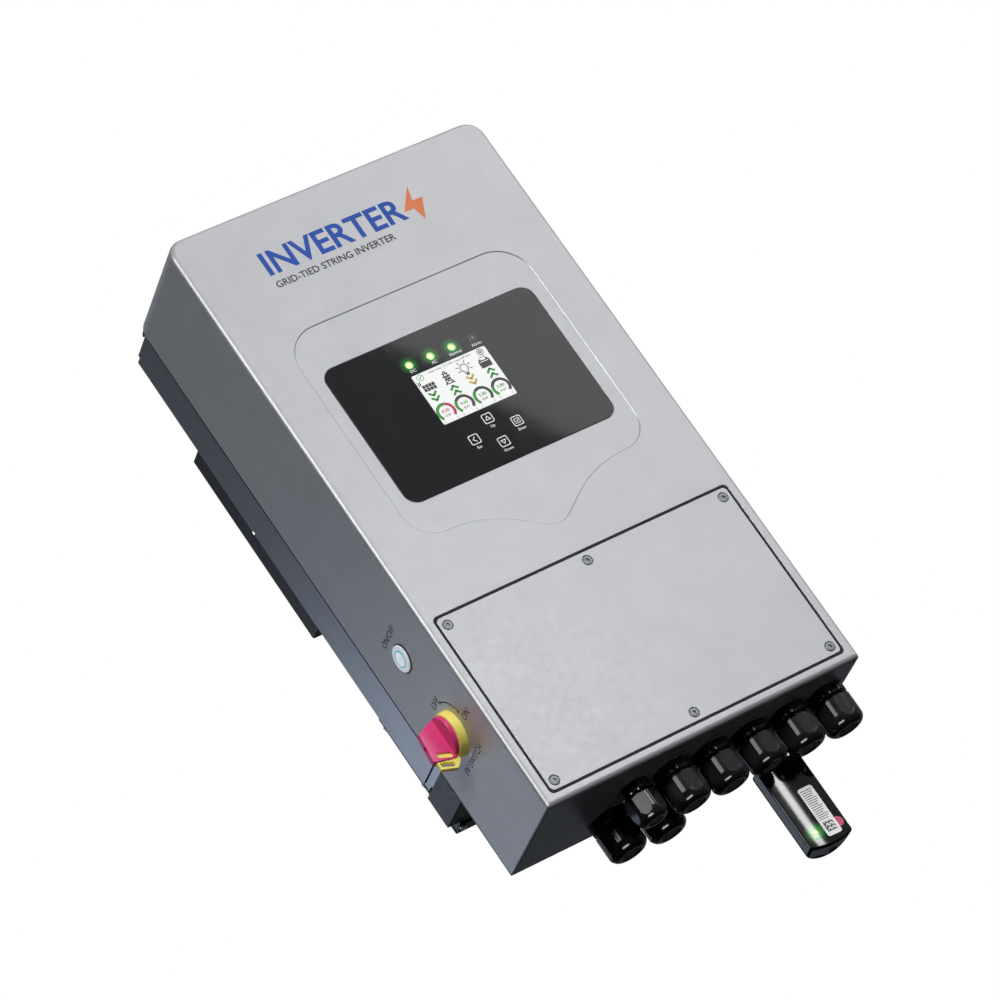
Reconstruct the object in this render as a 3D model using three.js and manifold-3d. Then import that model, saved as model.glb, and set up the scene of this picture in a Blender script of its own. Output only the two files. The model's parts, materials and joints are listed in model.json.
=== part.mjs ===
// Wall-hung string inverter, in millimetres, +Z up, +X to the right seen from the front.
// The origin is the middle of the wall bracket's rear face; the front faces -Y and the wall is at y = 0.
// Everything but the wall bracket sits in a group whose own origin is the middle of the cabinet's front
// face, so in that group x is sideways, y is the depth behind the front face, and z is the height
// above the cabinet's middle.

import * as THREE from 'three';
import { mergeVertices } from 'three/addons/utils/BufferGeometryUtils.js';
import Module from 'manifold-3d';

const wasm = await Module();
wasm.setup();

// ---- Driving dimensions ----

const GAP = 0.3;
const SHEET = 2;
const TOTAL_DEPTH = 232;
const CABINET_CENTRE_Z = -107.5;
const CABINET = {
  halfWidth: 165, halfHeight: 302.5, depth: 120.5, topCorner: 17, bottomCorner: 2.5, edge: 4.5,
};

const SHIELD = {
  halfWidth: 123, top: 178, topCorner: 33, sideFoot: -15, footCorner: 28, tip: -79, depth: 0.8,
};
const GLASS = { halfWidth: 110, bottom: -10, top: 135.5, corner: 13, front: 0.5, thickness: 1.2 };
const GLASS_SEAT = { halfWidth: 104, bottom: -4, top: 129.5, corner: 8, rimWidth: 10, rimDepth: 4 };
const SCREEN = { halfWidth: 38.5, bottom: 45.5, top: 98.3, corner: 1.5, front: 0.6 };
const LIGHTS = { x: [-33.5, -11.2, 11.1, 33.2], z: 109, radius: 2.8 };
const KEY = { side: 10.5, corner: 1.8, flangeSide: 12.5, front: 0.5, shoulder: 2.2, back: 3.4 };
const KEYS = { key_up: [0, 35], key_back: [-22.5, 22], key_enter: [22.5, 22], key_down: [0, 9.5] };
const LCD = { halfWidth: 44, low: 3.5, high: 3, behindGlass: 0.5, back: 8 };
const DISPLAY_BOARD = { y: 10, thickness: 1.6, standoff: 3, margin: 4, postX: 6, postZ: 8, chipHeight: 3 };
const CHIPS = [
  { x: -70, z: 20, side: 24 }, { x: -70, z: 70, side: 30 },
  { x: 62, z: 60, side: 26 }, { x: 66, z: 112, side: 18 },
];
const LIGHT_BAR = { back: 6, thickness: 2, overhang: 4, halfHeight: 2.5 };

const HATCH = { halfWidth: 155.3, bottom: -292.4, top: -110.2, corner: 5, floor: 6, ledge: 2 };
const HATCH_OPENING = { halfWidth: 138, bottom: -275, top: -128.5, corner: 6 };
const WIRING_COVER = { halfWidth: 153, bottom: -291, top: -112, corner: 4, thickness: 2.5 };
const SEAL = { width: 2.7, front: 2.8, back: 5.7 };
const CASE_SEAL = { outerInset: 1, innerInset: 5 };
const COVER_SCREW = {
  x: [-145.5, 0, 145.5], z: [-120.5, -283], head: 4.5, headDepth: 1.5, shank: 2, length: 11,
};
const SOCKET = { radius: 1.7, depth: 1 };

const REAR_PLATE = { y: 122.8, thickness: 2, inset: 1.5, hoodSheet: 2, hoodBack: 131, hoodFoot: 290 };
const REAR_WINDOW = { halfWidth: 120, bottom: -90, top: 250 };
const HEATSINK = {
  halfWidth: 163.5, front: 125.1, base: 131, wallBack: 163, wall: 3, bottom: -181, top: 288,
};
const HEATSINK_NOTCH = { depth: 8, height: 2.5 };
const FINS = { count: 22, halfSpan: 150, thickness: 2.2, back: 185 };
const SPACER = { back: 154, bottom: -190.7, top: -183.7, wall: 3.2 };
const TRAY = { bottom: -223, top: -191, wall: 1.5, shoulderY: 172, back: 189, innerHalfWidth: 149.5 };
const FAN = { x: [-112, 0, 112], y: 157, side: 60, height: 25, bore: 28.5, hub: 13 };
const FAN_STRUTS = { angles: [45, 165, 285], halfWidth: 2, thickness: 3 };
const FAN_BLADES = { count: 7, tip: 26.3, halfThickness: 0.9, halfChord: 8.5, pitch: 38 };
const ROTOR = { lift: 2, shorter: 6.5 };
const DUCT_COVER = { halfWidth: 150, front: 189.3, thickness: 2, top: -100, flangeFront: 176, flange: 1.5 };

const BRACKET = { halfWidth: 138, halfHeight: 100.5, depth: 35, sheet: 2 };
const BRACKET_SLOT = { x: 100, z: 70, halfWidth: 4.5, halfLength: 12, corner: 4.4 };
const HOOK = { halfWidth: 120, shelf: 158, sheet: 2.5, lipFront: 199.5, lipTop: 178 };
const HANGER = { halfWidth: 118, front: 185.3, sheet: 3, bottom: 110, top: 185, lipFront: 203 };

const ISOLATOR = { y: 62, z: -187, baseRadius: 21, baseHeight: 8, discRadius: 19, discHeight: 4 };
const HANDLE_BAR = {
  thickness: 7.5, highTip: 30, lowTip: 33, rootUp: 18.5, rootDown: 21.5, tipUp: 11.5, tipDown: 17.5,
};
const HANDLE_WINDOW = { out: 20.7, up: -15.3, halfWidth: 7, bottom: -2.4, top: 2.4, corner: 2.3, tilt: 22 };
const FIXING_HOLE = { radius: 2.7, depth: 3, up: -3 };
const HANDLE_SHAFT = { radius: 5, reach: 22 };
const SWITCH_BODY = { side: 48, length: 58 };
const SWITCH_RIBS = { offsets: [14, 25, 36, 47], width: 5, proud: 3 };
const TAB = { thickness: 4.8, near: 13.6, far: 30.5, top: -8 };
const TAB_LOOP = [[13.6, -19.6], [9.4, -21.1], [9, -23.6], [15.7, -30.1], [30.5, -25.4]];
const TAB_EYE = [[28.5, -19.2], [16.9, -23.4], [15.6, -25.3], [17.6, -27.2], [28.4, -23.2]];
const TAB_SLOT = { clear: 0.3, top: 2, armTop: -14, bottom: -40 };
const BUTTON = { y: 63, z: -107, flange: 12.3, barrel: 9.5, bore: 8.6, proud: 2.2, length: 24, floor: 12 };
const BUTTON_CAP = { radius: 8.2, length: 8, crown: 0.4, bevel: 0.6 };

// Turn is the hexagon's angle in degrees; at 0 two of its flats face sideways.
const BIG_GLAND = {
  thread: 15.2, flange: 19, flats: 18.2, bore: 9.5, neck: 14.6, nut: 19.3, scale: 1, turn: 30,
};
const SMALL_GLAND = {
  thread: 12, flange: 15.2, flats: 14.4, bore: 7.2, neck: 11.4, nut: 15.6, scale: 0.93, turn: 0,
};
const GLAND_DROPS = {
  inside: -12, flange: 10, nut: 12.5, neck: 27, shoulder: 28, seat: 29, dome: 35, end: 39,
};
const GLAND_ROW_Y = 46;
const REAR_GLAND_Y = 90;
const GLANDS = [
  { name: 'small', x: -63.5, y: GLAND_ROW_Y, size: SMALL_GLAND },
  { name: 'front_1', x: -23, y: GLAND_ROW_Y, size: BIG_GLAND },
  { name: 'front_2', x: 18, y: GLAND_ROW_Y, size: BIG_GLAND },
  { name: 'front_3', x: 59, y: GLAND_ROW_Y, size: BIG_GLAND },
  { name: 'front_4', x: 100, y: GLAND_ROW_Y, size: BIG_GLAND },
  { name: 'front_5', x: 141, y: GLAND_ROW_Y, size: BIG_GLAND },
  { name: 'rear_1', x: -76, y: REAR_GLAND_Y, size: BIG_GLAND },
  { name: 'rear_2', x: -34, y: REAR_GLAND_Y, size: BIG_GLAND },
];
const LOGGER = { x: 81, y: 83, halfWidth: 23, front: 72, sideBack: 81, back: 94, top: -330, bottom: -413.5 };
const LOGGER_SHAPE = { sag: 4.5, crown: 1.8, corner: 2 };
const LOGGER_NECK = { radius: 12, stub: 9, drop: 10, rise: 12 };
const LOGGER_COLLAR = { radius: 16, clear: 0.4, top: 1, foot: 20 };

const POWER_BOARD = { halfWidth: 150, y: 104, thickness: 2, bottom: -88, top: 262 };
const POWER_MODULES = { x: [-110, -55, 0, 55, 110], halfWidth: 20, back: 117, bottom: 150, top: 215 };
const DRIVER = { x0: -140, x1: -60, front: 92, bottom: -70, top: -20 };
const RELAYS = { x: [-20, 15, 50, 85, 120], halfWidth: 14, front: 80, bottom: -78, top: -48 };
const CAPACITOR_HOLDER = { halfWidth: 132, front: 101, back: 103.5, bottom: 66, top: 130 };
const CAPACITORS = { x: [-96, -32, 32, 96], z: [82, 114], radius: 15, front: 58 };
const POTTING = { halfWidth: 120, front: 60, back: 103.5, bottom: -10, top: 55 };
const COILS = { x: [-80, 0, 80], z: 22, radius: 24, front: 45 };
const TERMINALS = { x0: -60, x1: 132, front: 86, back: 118, bottom: -240, top: -204 };
const TERMINAL_POCKETS = { first: -48, pitch: 24, count: 8, halfWidth: 8, back: 104, top: -222 };

const ROUND = 12;
const DISC = 20;
const SMALL_ROUND = 8;
const ARC = 3;

// ---- Materials: colour, roughness, metalness ----

function paint(color, roughness, metalness = 0) {
  return new THREE.MeshStandardMaterial({ color, roughness, metalness });
}

const MATERIAL = {
  cabinet: paint(0xc9cacc, 0.45),
  blackPaint: paint(0x1c1d1f, 0.5),
  darkSheet: paint(0x47484c, 0.5, 0.3),
  aluminium: paint(0x9a9da4, 0.35, 0.9),
  steel: paint(0x8f9196, 0.3, 0.9),
  glossBlack: paint(0x0d0e10, 0.12),
  screen: paint(0xf6f7f8, 0.2),
  clear: paint(0x8fe39a, 0.2),
  rubber: paint(0x161616, 0.8),
  board: paint(0x1f5a36, 0.55),
  yellow: paint(0xe9d55a, 0.4),
  magenta: paint(0xb81a55, 0.4),
  nylon: paint(0x131416, 0.32),
  component: paint(0x2b2d33, 0.5),
  ring: paint(0xe6ebf0, 0.3),
};

// ---- Solids ----

function solid(geometry) {
  const bare = geometry.clone();
  bare.deleteAttribute('normal');
  bare.deleteAttribute('uv');
  const merged = mergeVertices(bare, 1e-4);
  const mesh = new wasm.Mesh({
    numProp: 3,
    vertProperties: new Float32Array(merged.attributes.position.array),
    triVerts: new Uint32Array(merged.index.array),
  });
  return new wasm.Manifold(mesh);
}

function toGeometry(manifold) {
  const mesh = manifold.getMesh();
  const geometry = new THREE.BufferGeometry();
  geometry.setAttribute('position', new THREE.BufferAttribute(mesh.vertProperties, 3));
  geometry.setIndex(new THREE.BufferAttribute(mesh.triVerts, 1));
  return geometry;
}

const joined = (first, ...rest) => rest.reduce((whole, piece) => whole.add(piece), first);
const cut = (first, ...tools) => tools.reduce((whole, tool) => whole.subtract(tool), first);

function box(x0, x1, y0, y1, z0, z1) {
  const geometry = new THREE.BoxGeometry(x1 - x0, y1 - y0, z1 - z0);
  geometry.translate((x0 + x1) / 2, (y0 + y1) / 2, (z0 + z1) / 2);
  return solid(geometry);
}

// The outline is drawn in x and z, and the solid runs from y0 to y1.
function alongY(shape, y0, y1, curveSegments = ARC) {
  const geometry = new THREE.ExtrudeGeometry(shape, { depth: y1 - y0, bevelEnabled: false, curveSegments });
  geometry.rotateX(Math.PI / 2);
  geometry.translate(0, y1, 0);
  return solid(geometry);
}

// The outline is drawn in x and y, and the solid runs from z0 to z1.
function alongZ(shape, z0, z1, curveSegments = ARC) {
  const geometry = new THREE.ExtrudeGeometry(shape, { depth: z1 - z0, bevelEnabled: false, curveSegments });
  geometry.translate(0, 0, z0);
  return solid(geometry);
}

// The outline is drawn in y and z, and the solid runs from x0 to x1.
function alongX(shape, x0, x1, curveSegments = ARC) {
  const geometry = new THREE.ExtrudeGeometry(shape, { depth: x1 - x0, bevelEnabled: false, curveSegments });
  const yAxis = new THREE.Vector3(0, 1, 0);
  const zAxis = new THREE.Vector3(0, 0, 1);
  const xAxis = new THREE.Vector3(1, 0, 0);
  geometry.applyMatrix4(new THREE.Matrix4().makeBasis(yAxis, zAxis, xAxis));
  geometry.translate(x0, 0, 0);
  return solid(geometry);
}

// Profile points are [radius, height]; the height runs along +Z.
function turned(profile, segments = ROUND) {
  const points = profile.map(([radius, height]) => new THREE.Vector2(radius, height));
  const geometry = new THREE.LatheGeometry(points, segments);
  geometry.rotateX(Math.PI / 2);
  return solid(geometry);
}

const ringProfile = (profile) => [...profile, profile[0]];

function rod(radius, z0, z1, segments = ROUND) {
  const geometry = new THREE.CylinderGeometry(radius, radius, z1 - z0, segments);
  geometry.rotateX(Math.PI / 2);
  geometry.translate(0, 0, (z0 + z1) / 2);
  return solid(geometry);
}

const facingLeft = (piece, y, z) => piece.rotate([0, -90, 0]).translate([0, y, z]);
const facingBack = (piece) => piece.rotate([-90, 0, 0]);

function roundedRect(x0, x1, z0, z1, low, high = low) {
  const shape = new THREE.Shape();
  shape.moveTo(x0 + low, z0);
  shape.lineTo(x1 - low, z0);
  shape.absarc(x1 - low, z0 + low, low, -Math.PI / 2, 0, false);
  shape.lineTo(x1, z1 - high);
  shape.absarc(x1 - high, z1 - high, high, 0, Math.PI / 2, false);
  shape.lineTo(x0 + high, z1);
  shape.absarc(x0 + high, z1 - high, high, Math.PI / 2, Math.PI, false);
  shape.lineTo(x0, z0 + low);
  shape.absarc(x0 + low, z0 + low, low, Math.PI, Math.PI * 1.5, false);
  return shape;
}

const centredRect = (part, grow = 0) => roundedRect(
  -part.halfWidth - grow,
  part.halfWidth + grow,
  part.bottom - grow,
  part.top + grow,
  part.corner + grow,
);

function polygon(points) {
  return new THREE.Shape(points.map(([u, v]) => new THREE.Vector2(u, v)));
}

// A rectangle from depth 0 backwards whose two front corners are rounded.
function frontRounded(halfSpan, back, radius, upright) {
  const shape = new THREE.Shape();
  const place = (across, depth) => (upright ? [depth, across] : [across, depth]);
  const arc = (centreAcross, from, to) => {
    for (let step = 0; step <= ARC; step += 1) {
      const angle = from + ((to - from) * step) / ARC;
      shape.lineTo(...place(centreAcross + radius * Math.cos(angle), radius - radius * Math.sin(angle)));
    }
  };
  shape.moveTo(...place(-halfSpan, back));
  arc(-halfSpan + radius, Math.PI, Math.PI / 2);
  arc(halfSpan - radius, Math.PI / 2, 0);
  shape.lineTo(...place(halfSpan, back));
  return shape;
}

// ---- Cabinet ----

function cabinetOutline(inset) {
  const halfWidth = CABINET.halfWidth - inset;
  const halfHeight = CABINET.halfHeight - inset;
  const low = Math.max(CABINET.bottomCorner - inset, 0.5);
  return roundedRect(-halfWidth, halfWidth, -halfHeight, halfHeight, low, CABINET.topCorner - inset);
}

function shieldOutline() {
  const { halfWidth, top, topCorner, sideFoot, footCorner, tip } = SHIELD;
  const footX = halfWidth - footCorner;
  const footZ = sideFoot - footCorner;
  const nearSide = 0.4 * footX;
  const nearTip = 0.19 * footX;
  const shape = new THREE.Shape();
  shape.moveTo(0, tip);
  shape.bezierCurveTo(nearTip, tip, nearSide, footZ, footX, footZ);
  shape.absarc(footX, sideFoot, footCorner, -Math.PI / 2, 0, false);
  shape.absarc(halfWidth - topCorner, top - topCorner, topCorner, 0, Math.PI / 2, false);
  shape.absarc(topCorner - halfWidth, top - topCorner, topCorner, Math.PI / 2, Math.PI, false);
  shape.absarc(-footX, sideFoot, footCorner, Math.PI, Math.PI * 1.5, false);
  shape.bezierCurveTo(-nearSide, footZ, -nearTip, tip, 0, tip);
  return shape;
}

function coverShell() {
  const { halfWidth, halfHeight, depth, edge } = CABINET;
  const block = alongY(cabinetOutline(0), 0, depth);
  const sideView = alongX(frontRounded(halfHeight, depth + 1, edge, true), -halfWidth - 1, halfWidth + 1);
  const planView = alongZ(frontRounded(halfWidth, depth + 1, edge, false), -halfHeight - 1, halfHeight + 1);
  const hollow = alongY(cabinetOutline(SHEET), SHEET, depth + 1);
  return cut(block.intersect(sideView).intersect(planView), hollow);
}

function frontCover() {
  const rim = alongY(centredRect(GLASS_SEAT, GLASS_SEAT.rimWidth), SHIELD.depth, GLASS_SEAT.rimDepth);
  const tub = alongY(centredRect(HATCH, SHEET), SHEET / 2, HATCH.floor + HATCH.ledge);
  const pocketBack = GLASS.front + GLASS.thickness + GAP;
  const body = cut(
    joined(coverShell(), rim, tub),
    alongY(shieldOutline(), -1, SHIELD.depth, ARC + 3),
    alongY(centredRect(GLASS, GAP), -1, pocketBack),
    alongY(centredRect(GLASS_SEAT), -1, GLASS_SEAT.rimDepth + 1),
    alongY(centredRect(HATCH), -1, HATCH.floor),
    alongY(centredRect(HATCH_OPENING), -1, HATCH.floor + HATCH.ledge + 1),
    ...screwHoles(COVER_SCREW.shank + GAP, 0, HATCH.floor + HATCH.ledge + 1),
  );
  const underside = -CABINET.halfHeight;
  const cableHoles = GLANDS.map(({ x, y, size }) => (
    rod(size.thread + GAP, underside - 1, underside + SHEET + 1).translate([x, y, 0])
  ));
  const loggerHole = rod(LOGGER_NECK.stub + GAP, underside - 1, underside + SHEET + 1);
  const sideHole = (radius) => rod(radius, CABINET.halfWidth - SHEET - 1, CABINET.halfWidth + 1, DISC);
  return cut(
    body,
    ...cableHoles,
    loggerHole.translate([LOGGER.x, LOGGER.y, 0]),
    facingLeft(sideHole(HANDLE_SHAFT.radius + 3), ISOLATOR.y, ISOLATOR.z),
    facingLeft(sideHole(BUTTON.barrel + GAP), BUTTON.y, BUTTON.z),
  );
}

function screwHoles(radius, y0, y1, segments = SMALL_ROUND) {
  return COVER_SCREW.x.flatMap((x) => COVER_SCREW.z.map((z) => (
    facingBack(rod(radius, y0, y1, segments)).translate([x, 0, z])
  )));
}

function wiringCover() {
  const { head, headDepth, shank } = COVER_SCREW;
  const plate = alongY(centredRect(WIRING_COVER), 0, WIRING_COVER.thickness);
  return cut(
    plate,
    ...screwHoles(head + GAP, -1, headDepth + GAP, ROUND),
    ...screwHoles(shank + GAP, 0, SEAL.front),
  );
}

function wiringSeal() {
  const outer = alongY(centredRect(HATCH_OPENING, SEAL.width + GAP), SEAL.front, SEAL.back);
  return cut(outer, alongY(centredRect(HATCH_OPENING, GAP), 0, HATCH.floor));
}

function coverScrew() {
  const { head, headDepth, shank, length } = COVER_SCREW;
  const body = joined(rod(head, 0, headDepth), rod(shank, headDepth - 0.5, length, SMALL_ROUND));
  return facingBack(cut(body, rod(SOCKET.radius, -1, SOCKET.depth, 6)));
}

function caseSeal() {
  const front = CABINET.depth + GAP;
  const outer = alongY(cabinetOutline(CASE_SEAL.outerInset), front, REAR_PLATE.y - GAP);
  return cut(outer, alongY(cabinetOutline(CASE_SEAL.innerInset), front - 1, REAR_PLATE.y));
}

function rearPlate() {
  const { y, thickness, inset, hoodSheet, hoodBack, hoodFoot } = REAR_PLATE;
  const hood = cut(
    alongY(cabinetOutline(inset), y + thickness / 2, hoodBack),
    alongY(cabinetOutline(inset + hoodSheet), y + thickness, hoodBack + 1),
    box(-CABINET.halfWidth, CABINET.halfWidth, y + thickness, hoodBack + 1, -CABINET.halfHeight, hoodFoot),
  );
  const plate = alongY(cabinetOutline(inset), y, y + thickness);
  const { halfWidth, bottom, top } = REAR_WINDOW;
  const window = box(-halfWidth, halfWidth, y - 1, y + thickness + 1, bottom, top);
  return cut(joined(plate, hood), window);
}

// ---- Display and keypad ----

function displayGlass() {
  const { front, thickness } = GLASS;
  const back = front + thickness;
  const half = KEY.side / 2 + GAP;
  const keyHoles = Object.values(KEYS).map(([x, z]) => (
    alongY(roundedRect(x - half, x + half, z - half, z + half, KEY.corner), front - 1, back + 1, 2)
  ));
  const lightHoles = LIGHTS.x.map((x) => (
    facingBack(rod(LIGHTS.radius + GAP, front - 1, back + 1, SMALL_ROUND)).translate([x, 0, LIGHTS.z])
  ));
  const window = alongY(centredRect(SCREEN, GAP), front - 1, back + 1);
  return cut(alongY(centredRect(GLASS), front, back), window, ...keyHoles, ...lightHoles);
}

function lcdModule() {
  const { halfWidth, low, high, behindGlass, back } = LCD;
  const shoulder = GLASS.front + GLASS.thickness + behindGlass;
  const frame = box(-halfWidth, halfWidth, shoulder, back, SCREEN.bottom - low, SCREEN.top + high);
  return joined(frame, alongY(centredRect(SCREEN), SCREEN.front, shoulder + 1));
}

function displayBoard() {
  const { y, thickness, standoff, margin, postX, postZ, chipHeight } = DISPLAY_BOARD;
  const halfWidth = GLASS_SEAT.halfWidth - margin;
  const { bottom, top, rimDepth } = GLASS_SEAT;
  const post = facingBack(rod(standoff, rimDepth + 1, y + 0.5, SMALL_ROUND));
  const postAcross = [-halfWidth + postX, halfWidth - postX];
  const postHeights = [bottom + postZ, top - postZ];
  const posts = postAcross.flatMap((x) => postHeights.map((z) => post.translate([x, 0, z])));
  const back = y + thickness;
  const chips = CHIPS.map(({ x, z, side }) => (
    box(x - side / 2, x + side / 2, back - 0.5, back + chipHeight, z - side / 2, z + side / 2)
  ));
  return joined(box(-halfWidth, halfWidth, y, y + thickness, bottom, top), ...posts, ...chips);
}

function lightGuide() {
  const { back, thickness, overhang, halfHeight } = LIGHT_BAR;
  const { x: places, z, radius } = LIGHTS;
  const left = Math.min(...places) - overhang;
  const right = Math.max(...places) + overhang;
  const bar = box(left, right, back - thickness, back, z - halfHeight, z + halfHeight);
  const pins = places.map((x) => (
    facingBack(rod(radius, GLASS.front, back - 1, SMALL_ROUND)).translate([x, 0, z])
  ));
  return joined(bar, ...pins);
}

function keyCap() {
  const cap = KEY.side / 2;
  const flange = KEY.flangeSide / 2;
  const front = alongY(roundedRect(-cap, cap, -cap, cap, KEY.corner), KEY.front, KEY.shoulder + 0.5, 2);
  return joined(front, box(-flange, flange, KEY.shoulder, KEY.back, -flange, flange));
}

// ---- Cooling and wall fixing ----

function heatsink() {
  const { halfWidth, front, base, wallBack, wall, bottom, top } = HEATSINK;
  const inner = halfWidth - wall;
  const outline = [[-halfWidth, front], [halfWidth, front], [halfWidth, wallBack]];
  outline.push([inner, wallBack], [inner, base]);
  for (let index = FINS.count - 1; index >= 0; index -= 1) {
    const x = -FINS.halfSpan + (2 * FINS.halfSpan * index) / (FINS.count - 1);
    const half = FINS.thickness / 2;
    outline.push([x + half, base], [x + half, FINS.back], [x - half, FINS.back], [x - half, base]);
  }
  outline.push([-inner, base], [-inner, wallBack], [-halfWidth, wallBack]);
  const { depth, height } = HEATSINK_NOTCH;
  const notch = box(-halfWidth - 1, halfWidth + 1, wallBack - depth, wallBack + 1, top - height, top + 1);
  const middle = box(-inner, inner, base, FINS.back + 1, top - height - 1, top + 1);
  return cut(alongZ(polygon(outline), bottom, top), cut(notch, middle));
}

function spacerFrame() {
  const { back, bottom, top, wall } = SPACER;
  const outer = HEATSINK.halfWidth - GAP;
  const front = HEATSINK.front;
  const hole = box(-outer + wall, outer - wall, front + wall, back - wall, bottom - 1, top + 1);
  return cut(box(-outer, outer, front, back, bottom, top), hole);
}

function trayOutline(inset) {
  const outer = HEATSINK.halfWidth - inset;
  const inner = TRAY.innerHalfWidth - inset;
  const front = HEATSINK.front + inset;
  const shoulder = TRAY.shoulderY - inset;
  const back = TRAY.back - inset;
  return polygon([
    [-outer, front], [outer, front], [outer, shoulder], [inner, shoulder],
    [inner, back], [-inner, back], [-inner, shoulder], [-outer, shoulder],
  ]);
}

function fanTray() {
  const { bottom, top, wall } = TRAY;
  const hole = rod(FAN.bore - GAP, bottom - 1, bottom + wall + 1, DISC);
  const holes = FAN.x.map((x) => hole.translate([x, FAN.y, 0]));
  const inside = alongZ(trayOutline(wall), bottom + wall, top + 1);
  return cut(alongZ(trayOutline(0), bottom, top), inside, ...holes);
}

function fanFrame() {
  const half = FAN.side / 2;
  const bottom = TRAY.bottom + TRAY.wall + GAP;
  const top = bottom + FAN.height;
  const shell = cut(box(-half, half, -half, half, bottom, top), rod(FAN.bore, bottom - 1, top + 1, DISC));
  const { angles, halfWidth, thickness } = FAN_STRUTS;
  const motorSeat = rod(FAN.hub, top - thickness, top);
  const struts = angles.map((angle) => (
    box(FAN.hub - 1, FAN.bore + 1, -halfWidth, halfWidth, top - thickness, top).rotate([0, 0, angle])
  ));
  return joined(shell, motorSeat, ...struts);
}

function fanRotor() {
  const bottom = TRAY.bottom + TRAY.wall + ROTOR.lift;
  const top = bottom + FAN.height - ROTOR.shorter;
  const hub = rod(FAN.hub, bottom, top);
  const { count, tip, halfThickness, halfChord, pitch } = FAN_BLADES;
  const flat = box(FAN.hub - 1.5, tip, -halfThickness, halfThickness, -halfChord, halfChord);
  const blade = flat.rotate([pitch, 0, 0]).translate([0, 0, (bottom + top) / 2]);
  const blades = Array.from({ length: count }, (_, index) => blade.rotate([0, 0, (360 * index) / count]));
  return joined(hub, ...blades);
}

function ductCover() {
  const { halfWidth, front, thickness, top, flangeFront, flange } = DUCT_COVER;
  const under = TRAY.bottom - GAP;
  const back = front + thickness;
  const panel = box(-halfWidth, halfWidth, front, back, under - flange, top);
  const lip = box(-halfWidth, halfWidth, flangeFront, back, under - flange, under);
  const opening = rod(FAN.bore + 1, under - flange - 1, under + 1, DISC);
  const cutouts = FAN.x.map((x) => opening.translate([x, FAN.y, 0]));
  return cut(joined(panel, lip), ...cutouts);
}

function hangerRail() {
  const { halfWidth, front, sheet, bottom, top, lipFront } = HANGER;
  const lipBottom = HOOK.shelf + HOOK.sheet + GAP;
  return joined(
    box(-halfWidth, halfWidth, front, front + sheet, bottom, top),
    box(-halfWidth, halfWidth, front, lipFront + sheet, top - sheet, top),
    box(-halfWidth, halfWidth, lipFront, lipFront + sheet, lipBottom, top),
  );
}

// In the row's own frame: the rear face is y = 0, centred on the origin.
function wallBracket() {
  const { halfWidth, halfHeight, depth, sheet } = BRACKET;
  const pan = cut(
    box(-halfWidth, halfWidth, -depth, 0, -halfHeight, halfHeight),
    box(sheet - halfWidth, halfWidth - sheet, -depth - 1, -sheet, sheet - halfHeight, halfHeight - sheet),
  );
  const shelf = HOOK.shelf + CABINET_CENTRE_Z;
  const lipTop = HOOK.lipTop + CABINET_CENTRE_Z;
  const lipFront = HOOK.lipFront - TOTAL_DEPTH;
  const hook = joined(
    box(-HOOK.halfWidth, HOOK.halfWidth, lipFront, -sheet / 2, shelf, shelf + HOOK.sheet),
    box(-HOOK.halfWidth, HOOK.halfWidth, lipFront, lipFront + HOOK.sheet, shelf, lipTop),
  );
  const { x, z, halfWidth: slotHalf, halfLength, corner } = BRACKET_SLOT;
  const slots = [-x, x].flatMap((slotX) => [-z, z].map((slotZ) => (
    alongY(roundedRect(-halfLength, halfLength, -slotHalf, slotHalf, corner), -sheet - 1, 1)
      .translate([slotX, 0, slotZ])
  )));
  return cut(joined(pan, hook), ...slots);
}

// ---- Isolator and power button, turned about their own axes: heights run outwards from the wall ----

const OUTWARD = CABINET.halfWidth;

function isolatorBase() {
  const { baseRadius, baseHeight } = ISOLATOR;
  const bore = HANDLE_SHAFT.radius + 2.5;
  const foot = OUTWARD + GAP;
  const top = OUTWARD + baseHeight + GAP;
  const profile = [[bore, foot], [baseRadius, foot], [baseRadius - 1.2, top], [bore, top]];
  return facingLeft(turned(ringProfile(profile), DISC), ISOLATOR.y, ISOLATOR.z);
}

// Outlines are drawn as [height outwards, up]; the bar's thickness runs along y.
function uprightPlate(points, halfThickness) {
  const shape = polygon(points.map(([outwards, up]) => [-OUTWARD - outwards, up]));
  return alongY(shape, -halfThickness, halfThickness);
}

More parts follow.
